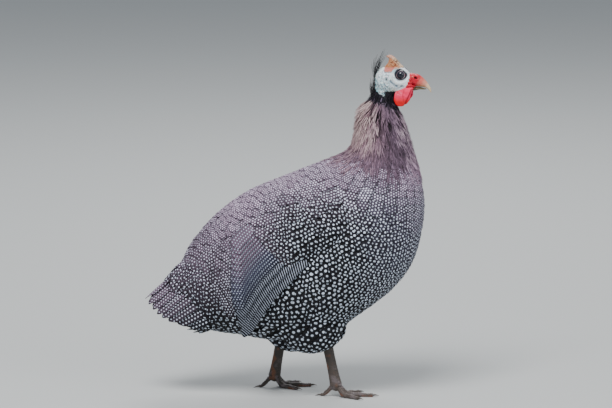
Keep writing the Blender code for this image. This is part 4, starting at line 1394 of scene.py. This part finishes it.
# %% Form and colours of an eye, by the angle from its axis
EYE_RINGS, EYE_AROUND = 40, 56
CORNEA = 0.45
angles = np.linspace(0.02, math.pi - 0.02, EYE_RINGS)
turn = np.linspace(0, 2 * math.pi, EYE_AROUND, endpoint=False)
bulge = (EYE_RADIUS + CORNEA * np.exp(-(angles / 0.55) ** 2))[:, None]
ring = np.stack([
    np.sin(angles)[:, None] * np.cos(turn) * bulge,
    np.cos(angles)[:, None] * np.ones_like(turn) * bulge,
    np.sin(angles)[:, None] * np.sin(turn) * bulge], axis=-1)
seen = np.concatenate([np.repeat(angles, EYE_AROUND), [0, math.pi]])[:, None]
iris = smoothstep(0.62, 0.66, seen) * smoothstep(0.84, 0.80, seen)
pink_ring = smoothstep(0.83, 0.87, seen) * smoothstep(1.14, 1.04, seen)
low = smoothstep(0.45, -0.35, np.append(ring[..., 2].ravel(), [0, 0]) / EYE_RADIUS)[:, None]
colour = np.array([0.004, 0.005, 0.014]) + iris * np.array([0.016, 0.010, 0.018])
# Painted shade: the pink ring is darker towards the top, under the upper lid
colour = colour + pink_ring * (0.25 + 0.75 * low) * np.array([0.50, 0.38, 0.39])
print("eye:", len(colour), "points")

# %% Build the eyes
wet = Finish("wet_eye", 0.04)
wet.bump(wet.noise(300, 2.0), 0.04, 0.0002)
wet_eye = wet.wear(Base_Color=wet.painted(1500, 3.0, 0.8, 1.2), Coat_Weight=0.5,
                   Coat_Roughness=0.02, Specular_IOR_Level=0.3)
for side, hand in ((-1, "right"), (1, "left")):
    mirror = np.array([1, side, 1])
    eye_mesh = skin_over(turn_head(ring * mirror + EYE * mirror))
    set_points(eye_mesh, read_mesh(eye_mesh)[0], colour)
    piece(f"eyeball_{hand}", eye_mesh, wet_eye, "eye_gloss", f"eye_{hand}")

# %% [markdown]
# ## Casque
# The helmet is a bony knob under thin horn, ochre and salmon with brown flecks, paler along its
# front edge and bent back at the tip. Shallow pits and ridges in the mesh break its outline.

# %% Form of the casque
CASQUE = [
    (131.4, 443.2, 157.0, 445.5, 7.2), (130.6, 448.0, 157.0, 449.8, 7.0),
    (133.6, 451.9, 154.1, 452.8, 5.7), (136.2, 455.6, 151.3, 455.9, 4.6),
    (137.1, 458.9, 148.3, 458.9, 3.6), (136.2, 461.6, 145.6, 462.0, 2.8),
    (133.9, 463.1, 142.4, 464.6, 2.0), (132.9, 464.0, 138.4, 465.9, 1.1),
]
CASQUE_FRONT = [(445, 450, 456, 459, 462, 466), (157, 157, 151, 148, 145, 139)]
LOBE = [(133.0, 446.2), (141.0, 446.4)]
casque, points, normals, (cx, cy, cz) = head_part(CASQUE, 64, 72)
lobe = hill(near_line(cx, cz, LOBE), 0, 1.9)
ridges = grain(np.stack([cx * 0.9, cy, cz * 0.35], axis=1), 0.9, 5.0)
rough = 0.45 * grain(points, 0.38, 3.0) + 0.40 * ridges + 0.22 * grain(points, 1.5, 2.0)
bumpy = points + normals * (rough * smoothstep(466.0, 462.0, cz) + lobe)[:, None]
print("casque:", len(points), "points")

# %% Colours of the casque
pink = np.clip(lobe * 1.4, 0, 1)
front = smoothstep(6.5, 2.0, np.interp(cz, *CASQUE_FRONT) - cx)
middle = smoothstep(9.0, 3.5, np.hypot(cx - 145.5, (cz - 455) * 1.3))
flecks = smoothstep(-0.06, 0.08, grain(points, 0.62, 8.0)) * middle
set_points(casque, bumpy, washed(
    (0.60, 0.215, 0.085),
    ((0.62, 0.36, 0.20), smoothstep(0.0, 0.4, grain(points, 0.5, 12.0))),
    ((0.66, 0.20, 0.17), pink + (cx < 143) * smoothstep(449, 446, cz) * (1 - pink)),
    ((0.80, 0.60, 0.42), front * smoothstep(446, 451, cz) * 0.9),
    ((0.76, 0.40, 0.30), smoothstep(460, 464, cz) * 0.8),
    ((0.15, 0.035, 0.012), 0.85 * flecks),
))
horn = Finish("casque_horn_skin", 0.45)
horn.bump(horn.plus(horn.noise(260, 6.0), horn.noise(1100, 2.0)), 0.7, 0.0010)
horn_skin = horn.wear(Base_Color=horn.painted(330, 5.0, (0.62, 0.58, 0.55), 1.25),
                      Coat_Weight=0.08, Coat_Roughness=0.35, Specular_IOR_Level=0.3)
piece("casque_horn", casque, horn_skin, "casque_horn", "casque")

# %% [markdown]
# ## Bill
# The upper bill starts as swollen crimson skin round the nostril and turns through salmon into
# pale horn at the hooked tip; the lower one is shorter, hides inside it, and is painted dark olive
# as shade under the upper bill. The nostril is sunk with the same kind of rule as the ear, and
# painted near black inside as painted shade.

# %% Forms of the bill
BILL_UPPER = [
    (166, 441.3, 167.3, 423.7, 9.4), (171.4, 440.9, 173.4, 423.3, 8.2),
    (178.6, 439.1, 180, 423, 6.7), (185.5, 433.7, 185.3, 422.5, 5),
    (191.0, 427, 189.7, 420.4, 3.2), (194.4, 421.1, 192.6, 417.6, 1.6),
    (195.2, 415.7, 194.5, 415.0, 0.5),
]
BILL_LOWER = [
    (167.1, 422.8, 166.7, 416.8, 7.8), (174.1, 422.7, 174.1, 418.0, 6.7),
    (180.6, 422.3, 180.2, 419.3, 5.2), (186.5, 421.0, 185.8, 419.2, 3),
    (188.7, 420.3, 188.3, 419.7, 0.9),
]
PALE_SPOT = (170.6, 437.2)
print("upper bill:", round(BILL_UPPER[-1][0] - BILL_UPPER[0][0], 1), "mm long")

# %% Shape and colour both halves of the bill
bill_horn = flesh("bill_horn_skin", 0.40, 420, 0.0003, 0.2, 0.0)
for name, rows, node in (
    ("bill_top", BILL_UPPER, "bill_upper"), ("bill_bottom", BILL_LOWER, "bill_lower"),
):
    mesh, points, normals, (bx, by, bz) = head_part(rows, 90, 96)
    upper = node == "bill_upper"
    swollen = smoothstep(179.0, 174.0, bx)
    rise = 0.30 * grain(points, 0.45, 6.0) * swollen + 0.08 * grain(points, 1.2, 7.0)
    nose_far = np.hypot((bx - NOSTRIL[0]) / 1.5, bz - NOSTRIL[1] + 0.25 * (bx - NOSTRIL[0]))
    on_side = smoothstep(1.6, 3.0, np.abs(by))
    nostril = 0.55 * hill(nose_far, 2.5, 0.7) - 3.2 * hill(nose_far, 0, 1.25)
    rise = rise + nostril * on_side * upper
    along_bill = bx - 0.5 * (bz - 432) + 0.8 * grain(points, 0.5, 2.0)
    cutting_edge = smoothstep(427.0, 424.0, bz) * smoothstep(174, 178, bx)
    pale_spot = hill(np.hypot(bx - PALE_SPOT[0], bz - PALE_SPOT[1]), 0, 0.8)
    set_points(mesh, points + normals * rise[:, None], washed(
        FACE_RED,
        ((0.66, 0.125, 0.10), smoothstep(176.0, 181.0, along_bill)),
        ((0.72, 0.28, 0.20), smoothstep(182.0, 188.0, along_bill)),
        ((0.74, 0.56, 0.36), smoothstep(189.0, 195.0, along_bill)),
        ((0.58, 0.30, 0.12), 0.85 * cutting_edge * smoothstep(193, 189, along_bill)),
        ((0.70, 0.42, 0.26), 0.9 * pale_spot * on_side),
        # Painted shade: the sunk nostril is painted near black inside
        ((0.010, 0.003, 0.003), 0.97 * smoothstep(1.75, 1.15, nose_far) * on_side),
        # Painted shade: the lower bill is painted dark olive, standing in for the shade under the
        # upper bill
        ((0.11, 0.090, 0.045), smoothstep(168, 173, bx) * (not upper)),
    ))
    piece(name, mesh, bill_horn, "bill_horn", node)

# %% [markdown]
# ## Wattles and the corner of the mouth
# A pair of fleshy red lappets hangs from the corners of the mouth. Each is a flat pouch with a
# thick rim and soft dents, pinkish above and scarlet below. Between wattle and bill the skin
# gathers into small red rolls, which hide where the pieces meet.

# %% Build the wattles
WATTLE = [
    (156.7, 424.3, 170.8, 423.2, 1.3, 9.4), (150.4, 420, 170.8, 420, 2, 11.3),
    (146.8, 412.9, 168.6, 413.4, 2.6, 13.1), (146.2, 405.8, 166.3, 406.4, 2.5, 13.5),
    (148.6, 400.2, 162.2, 400.4, 1.6, 12.8), (152.3, 397.8, 157.0, 397.9, 0.7, 12.2),
]
LONG_CREASE = [(169.8, 420.5), (166.4, 412.0), (163.2, 405.5), (160.5, 399.0)]
SHORT_CREASE = [(159.5, 420.0), (158.0, 413.0), (159.5, 404.0)]
for side, hand in ((-1, "right"), (1, "left")):
    mesh, points, normals, (wx, _, wz) = head_part(
        [(*row[:5], side * row[5]) for row in WATTLE], 60, 72)
    rim = smoothstep(0.6, 0.95, np.hypot((wx - 156) / 11.0, (wz - 409) / 11.0))
    crease = hill(near_line(wx, wz, LONG_CREASE), 0, 1.1)
    crease = np.maximum(crease, 0.5 * hill(near_line(wx, wz, SHORT_CREASE), 0, 0.8))
    rise = 0.45 * rim + 0.85 * grain(points, 0.16, 1.0) - 0.75 * crease
    rise = rise + 0.20 * grain(points, 0.7, 2.0) + 0.14 * grain(points, 1.5, 8.0)
    scarlet = np.clip(smoothstep(412, 403, wz) + 0.5 * rim * (wx < 154), 0, 1)
    # Painted highlight: a pale pinkish-grey patch on the upper part of the wattle
    pale = smoothstep(6.5, 1.5, np.hypot(wx - 152.0, wz - 416))
    pale = pale * smoothstep(0.0, 0.35, grain(points, 0.6, 7.0))
    set_points(mesh, points + normals * rise[:, None], washed(
        (0.98, 0.030, 0.115),
        ((0.90, 0.007, 0.011), scarlet),
        ((0.74, 0.30, 0.38), 0.6 * pale),
        # Painted shade in the creases
        ((0.24, 0.003, 0.006), 0.85 * crease),
    ))
    piece(f"lappet_{hand}", mesh, red_flesh, "red_skin", f"wattle_{hand}")

# %% Rolls at the corner of the mouth: start, end, thickness and distance from the middle
ROLLS = (
    ((160.5, 425.5), (173.0, 425.0), 1.7, 11.0), ((163.5, 428.6), (170.5, 430.5), 1.5, 10.6),
    ((159.5, 422.4), (171.5, 421.8), 1.5, 10.8), ((165.5, 432.0), (170.0, 436.5), 1.3, 9.6),
)
beads = []
for side in (-1, 1):
    for start, end, thick, out in ROLLS:
        for t in np.linspace(0, 1, 7):
            x = start[0] + (end[0] - start[0]) * t
            z = start[1] + (end[1] - start[1]) * t + 0.5 * math.sin(7 * t + start[0])
            spot = turn_head(np.array([x, side * (out - 1.6 * t), z]))
            swell = thick * (0.7 + 0.5 * math.sin(math.pi * min(1, t + 0.1)))
            beads.append(ellipsoid(spot, (swell * 1.25, swell, swell), 14))
mouth = welded(0.5, 3, *beads)
points, normals, _ = read_mesh(mouth)
mottle = grain(points, 0.8, 3.0)
set_points(mouth, points + normals * (0.22 * mottle)[:, None], washed(
    FACE_RED, ((0.30, 0.01, 0.015), smoothstep(0.0, 0.5, mottle))))
piece("mouth_corner", mouth, red_flesh, "red_skin")

# %% [markdown]
# ## Dark band and nape
# Between the collar and the bare face lies a band of short, thin, blackish feathers, which climbs
# to the jaw in front. From it a strip of hair-like feathers rises along the back of the head,
# almost upright and sparse enough to see through. Both kinds are feathers reduced to their shaft.
# They root in the head's own skin, so it gets a bed of places too.

# %% Short dark feathers
head_bed = bed_of(head_skin, 2.0)
places, look = head_bed["places"], head_bed["look"]
jaw = (places[:, 0] > 131) & (places[:, 2] < 417.5) & (look["collar"] > 0)
straight = turn_head(places, back=True)
below = straight[:, 2] < np.interp(straight[:, 0], *BAND_TOP) + 1.5 * grain(places, 0.5, 2.0)
step = np.full(len(places), 1.5)
band = keep_spaced(head_bed, step, step * 1.7, (look["collar"] > -9) & (below | jaw))
pale = (rng.random((len(band), 1)) < 0.32) & (look["collar"][band, None] < 12)
vanes = coat(
    "dark_band", head_bed, band, BAND_FEATHER, rng.uniform(1.0, 2.0, len(band)),
    rng.uniform(6, 12, len(band)), 0.2, rng.uniform(0.9, 2.8, len(band)),
    np.where(pale, [[0.13, 0.10, 0.15]], [[0.012, 0.010, 0.017]]))
piece("dark_band", vanes, wispy, "neck_plumage")

# %% Bristles up the back of the head
BRISTLES = 130
t = np.linspace(0, 1, 7)
tops, roots = [], []
for n in range(BRISTLES):
    low = rng.random()
    start = Vector((113 + 8 * low ** 2, rng.normal(0, 4.4), 408 + 40 * low))
    skin_at, skin_out, _, _ = head_bed["tree"].find_nearest(start)
    root, out = np.array(skin_at), np.array(skin_out)
    length = rng.uniform(8, 19) + 27 * low * rng.random() ** 2
    lean = np.array([0.06 + 0.42 * low + rng.normal(0, 0.14), rng.normal(0, 0.12), 1.0])
    way = unit(out * rng.uniform(0.25, 0.6) + lean)
    end = unit(lean + np.array([0.10, 0, 0]))
    line = root + (way * t[:, None] + (end - way) * (t ** 2)[:, None] * 0.5) * length
    side_way = unit(np.cross(way, out + 1e-3))
    half = (0.15 * (1 - t ** 1.5) + 0.05)[:, None]
    tops.append(np.stack([line - side_way * half, line, line + side_way * half], axis=1))
    roots.append(root)
tops, roots = np.array(tops), np.array(roots)
counts = np.zeros((*tops.shape[:3], 2))
counts[..., 1] = t[None, :, None] * 3
black = np.tile([0.010, 0.010, 0.013, 0.0], (BRISTLES, 1))
patch = bake_patch(roots, t, POINTED["columns"])
bristles = vanes_mesh("bristles", tops, 0.25, [-1.0, 0, 0], counts, black, black, patch)
piece("nape_bristles", bristles, wispy, "neck_plumage")

# %% [markdown]
# ## Scaled legs and toes
# Large plates clad the front of the shank and the tops of the toes, and small round scales the
# rest. The leg is first welded from plain tubes, and then each point finds the nearest bone, how
# far along it is and on which side, and the scale pattern there raises or sinks it.

# %% Bones of a leg
SHANK_RADIUS, TOE_RADIUS = 6.7, 4.3
LEGS = {
    "right": (-1, (51, -34, 84), (65.5, -34, 15)),
    "left": (1, (-7, 34, 82), (-18.7, 34, 15)),
}
SPLAY = math.radians(3)
TOES = (  # heading outwards in degrees, length, share of it that drops to the floor, hind
    (0.0, 50.0, 0.34, False), (-38, 38.0, 0.42, False), (36, 39.0, 0.42, False),
    (-172, 21.0, 0.9, True),
)
print("toes on each foot:", len(TOES))

# %% Middle lines of shank and toes
def toe_bone(ankle, heading, length, drop_share, hind):
    """A toe's middle line and radii: down from the ankle and then flat along the floor."""
    t = np.linspace(0, 1, 24)
    knuckles = 1 + 0.07 * np.cos(6 * math.pi * t)
    radii = TOE_RADIUS * (1 - 0.42 * t) * knuckles * (0.8 if hind else 1)
    fall = 0.5 - 0.5 * np.cos(math.pi * np.minimum(t / drop_share, 1))
    floor_at = radii - 0.45 + (3.2 * (1 - t) if hind else 0)
    line = np.stack([
        ankle[0] + math.cos(heading) * length * t, ankle[1] + math.sin(heading) * length * t,
        ankle[2] + (floor_at - ankle[2]) * fall], axis=1)
    return line, radii


def bones_of(side, hock, ankle):
    """Middle line, radii and front of the shank and each toe."""
    t = np.linspace(-0.12, 1, 30)[:, None]
    shank = np.array(hock) + (np.array(ankle, float) - np.array(hock)) * t
    bones = [(shank, SHANK_RADIUS * (1 + 0.22 * (2 * t[:, 0] - 1) ** 2), np.array([1.0, 0, 0.2]))]
    for degrees, length, drop, hind in TOES:
        heading = math.radians(degrees) * side + SPLAY * side
        bones.append((*toe_bone(ankle, heading, length, drop, hind), np.array([0, 0, 1.0])))
    return bones


# %% Rings round a bone
def tube_rings(line, radii, around=40):
    """Rings square to a line."""
    run = unit(np.gradient(line, axis=0))
    side = unit(np.cross(run, [0, 1.0, 0]))
    up = np.cross(side, run)
    turn = np.linspace(0, 2 * math.pi, around, endpoint=False)
    ring = side[:, None] * np.cos(turn)[None, :, None] + up[:, None] * np.sin(turn)[None, :, None]
    return line[:, None] + ring * radii[:, None, None]


# %% Where a point lies on the nearest bone
def on_bones(points, bones):
    """How far along and round its bone each point lies, the bone's radius and its number."""
    best = np.full(len(points), 1e9)
    run_at, turn_at, girth, kind = (np.zeros(len(points)) for _ in range(4))
    for number, (line, radii, front_way) in enumerate(bones):
        gaps = np.linalg.norm(points[:, None] - line[None], axis=2)
        at = gaps.argmin(1)
        way = unit(np.gradient(line, axis=0))
        reach = points - line[at]
        along = (reach * way[at]).sum(1)
        far = np.linalg.norm(reach - way[at] * along[:, None], axis=1) - radii[at]
        far = far + 0.5 * np.maximum(gaps.min(1) - radii[at] * 1.3, 0)
        mine = far < best
        right = unit(np.cross(way, front_way))
        ahead = np.cross(right, way)
        turn = np.arctan2((reach * right[at]).sum(1), (reach * ahead[at]).sum(1))
        best[mine] = far[mine]
        run_at[mine] = (run_along(line)[at] + along)[mine]
        turn_at[mine], girth[mine], kind[mine] = turn[mine], radii[at][mine], number
    return run_at, turn_at, girth, kind


# %% Plates in front, small scales elsewhere
SHANK_PLATE, TOE_PLATE, SMALL_SCALE = 4.6, 3.3, 2.1
SHANK_HALF_TURN, TOE_HALF_TURN = 1.15, 1.0
PLATE_RISE, SCALE_RISE = 0.55, 0.38
print("plates on a shank:", round((LEGS["left"][1][2] - LEGS["left"][2][2]) / SHANK_PLATE))


def scales(run_at, turn_at, girth, kind):
    """How much each point rises, and how deep in a seam between scales it lies."""
    shank = kind == 0
    plate = np.where(shank, SHANK_PLATE, TOE_PLATE)
    half_turn = np.where(shank, SHANK_HALF_TURN, TOE_HALF_TURN)
    cell = run_at / plate + np.where(shank & (turn_at > 0), 0.5, 0.0)
    in_plate = np.abs(turn_at) < half_turn
    edge = np.abs(cell - np.round(cell)) * plate
    edge = np.minimum(edge, np.where(shank, np.abs(turn_at) * girth, 9.0))
    edge = np.minimum(edge, np.abs(np.abs(turn_at) - half_turn) * girth)
    a = run_at / SMALL_SCALE
    b = turn_at * girth / SMALL_SCALE
    row = np.round(a)
    from_middle = np.hypot(a - row, b - np.round(b - 0.5 * (row % 2)) - 0.5 * (row % 2))
    tall = np.where(in_plate, PLATE_RISE * smoothstep(0.0, 0.9, edge) - 0.30,
                    SCALE_RISE * smoothstep(0.62, 0.25, from_middle) - 0.18)
    seam = np.where(in_plate, smoothstep(0.7, 0.0, edge), smoothstep(0.35, 0.62, from_middle))
    return tall, seam


# %% Weld and scale each leg
leg_scales = Finish("leg_scales", 0.55)
leg_scales.bump(leg_scales.noise(800, 3.0), 0.5, 0.0004)
scaled_skin = leg_scales.wear(
    Base_Color=leg_scales.painted(240, 5.0, 0.60, (1.30, 1.26, 1.22)),
    Coat_Weight=0.1, Coat_Roughness=0.4)
for hand, (side, hock, ankle) in LEGS.items():
    bones = bones_of(side, hock, ankle)
    tubes = [skin_over(tube_rings(line, radii)) for line, radii, _ in bones]
    leg = welded(0.6, 4, *tubes, ellipsoid(ankle, (7.4, 7.8, 7.2)))
    points, normals, _ = read_mesh(leg)
    run_at, turn_at, girth, kind = on_bones(points, bones)
    tall, seam = scales(run_at, turn_at, girth, kind)
    z = points[:, 2]
    sole = smoothstep(2.2, 0.6, z)
    shaped = points + normals * (tall * (1 - sole))[:, None]
    shaped[:, 2] = np.maximum(shaped[:, 2], 0.0)
    dusty = smoothstep(0.05, 0.40, grain(points, 0.13, 6.0)) * smoothstep(50, 20, z)
    warm = smoothstep(0.0, 0.35, grain(points, 0.11, 16.0)) * smoothstep(0.5, -0.3, np.cos(turn_at))
    set_points(leg, shaped, washed(
        (0.048, 0.036, 0.028),
        ((0.105, 0.078, 0.066), smoothstep(60, 10, z) * (side < 0)),
        ((0.20, 0.165, 0.175), 0.7 * dusty),
        ((0.25, 0.085, 0.030), 0.75 * warm),
        ((0.012, 0.009, 0.008), 0.85 * seam),
    ))
    piece(f"scaled_leg_{hand}", leg, scaled_skin, "leg_scale", f"shank_{hand}", f"foot_{hand}")

# %% [markdown]
# ## Claws
# A claw is smooth dark horn, a little glossy. Claws could be modelled again here, but the packed
# solids already have their curve, and at this size no more form would show. So the eight solids
# stay and only take a finish, dark brown with paler clouds.

# %% Finish of the claws
claw = Finish("claw_keratin", 0.38)
claw.bump(claw.noise(500, 3.0), 0.4, 0.0003)
claw_keratin = claw.wear(Base_Color=claw.mix(
    claw.noise(220, 4.0), (0.030, 0.022, 0.018, 1), (0.11, 0.085, 0.068, 1)), Coat_Weight=0.2)
claws = [node for name, node in SOLIDS.items() if name.startswith("claw_")]
for node in claws:
    node.material_slots[0].material = claw_keratin
print("claws:", len(claws))
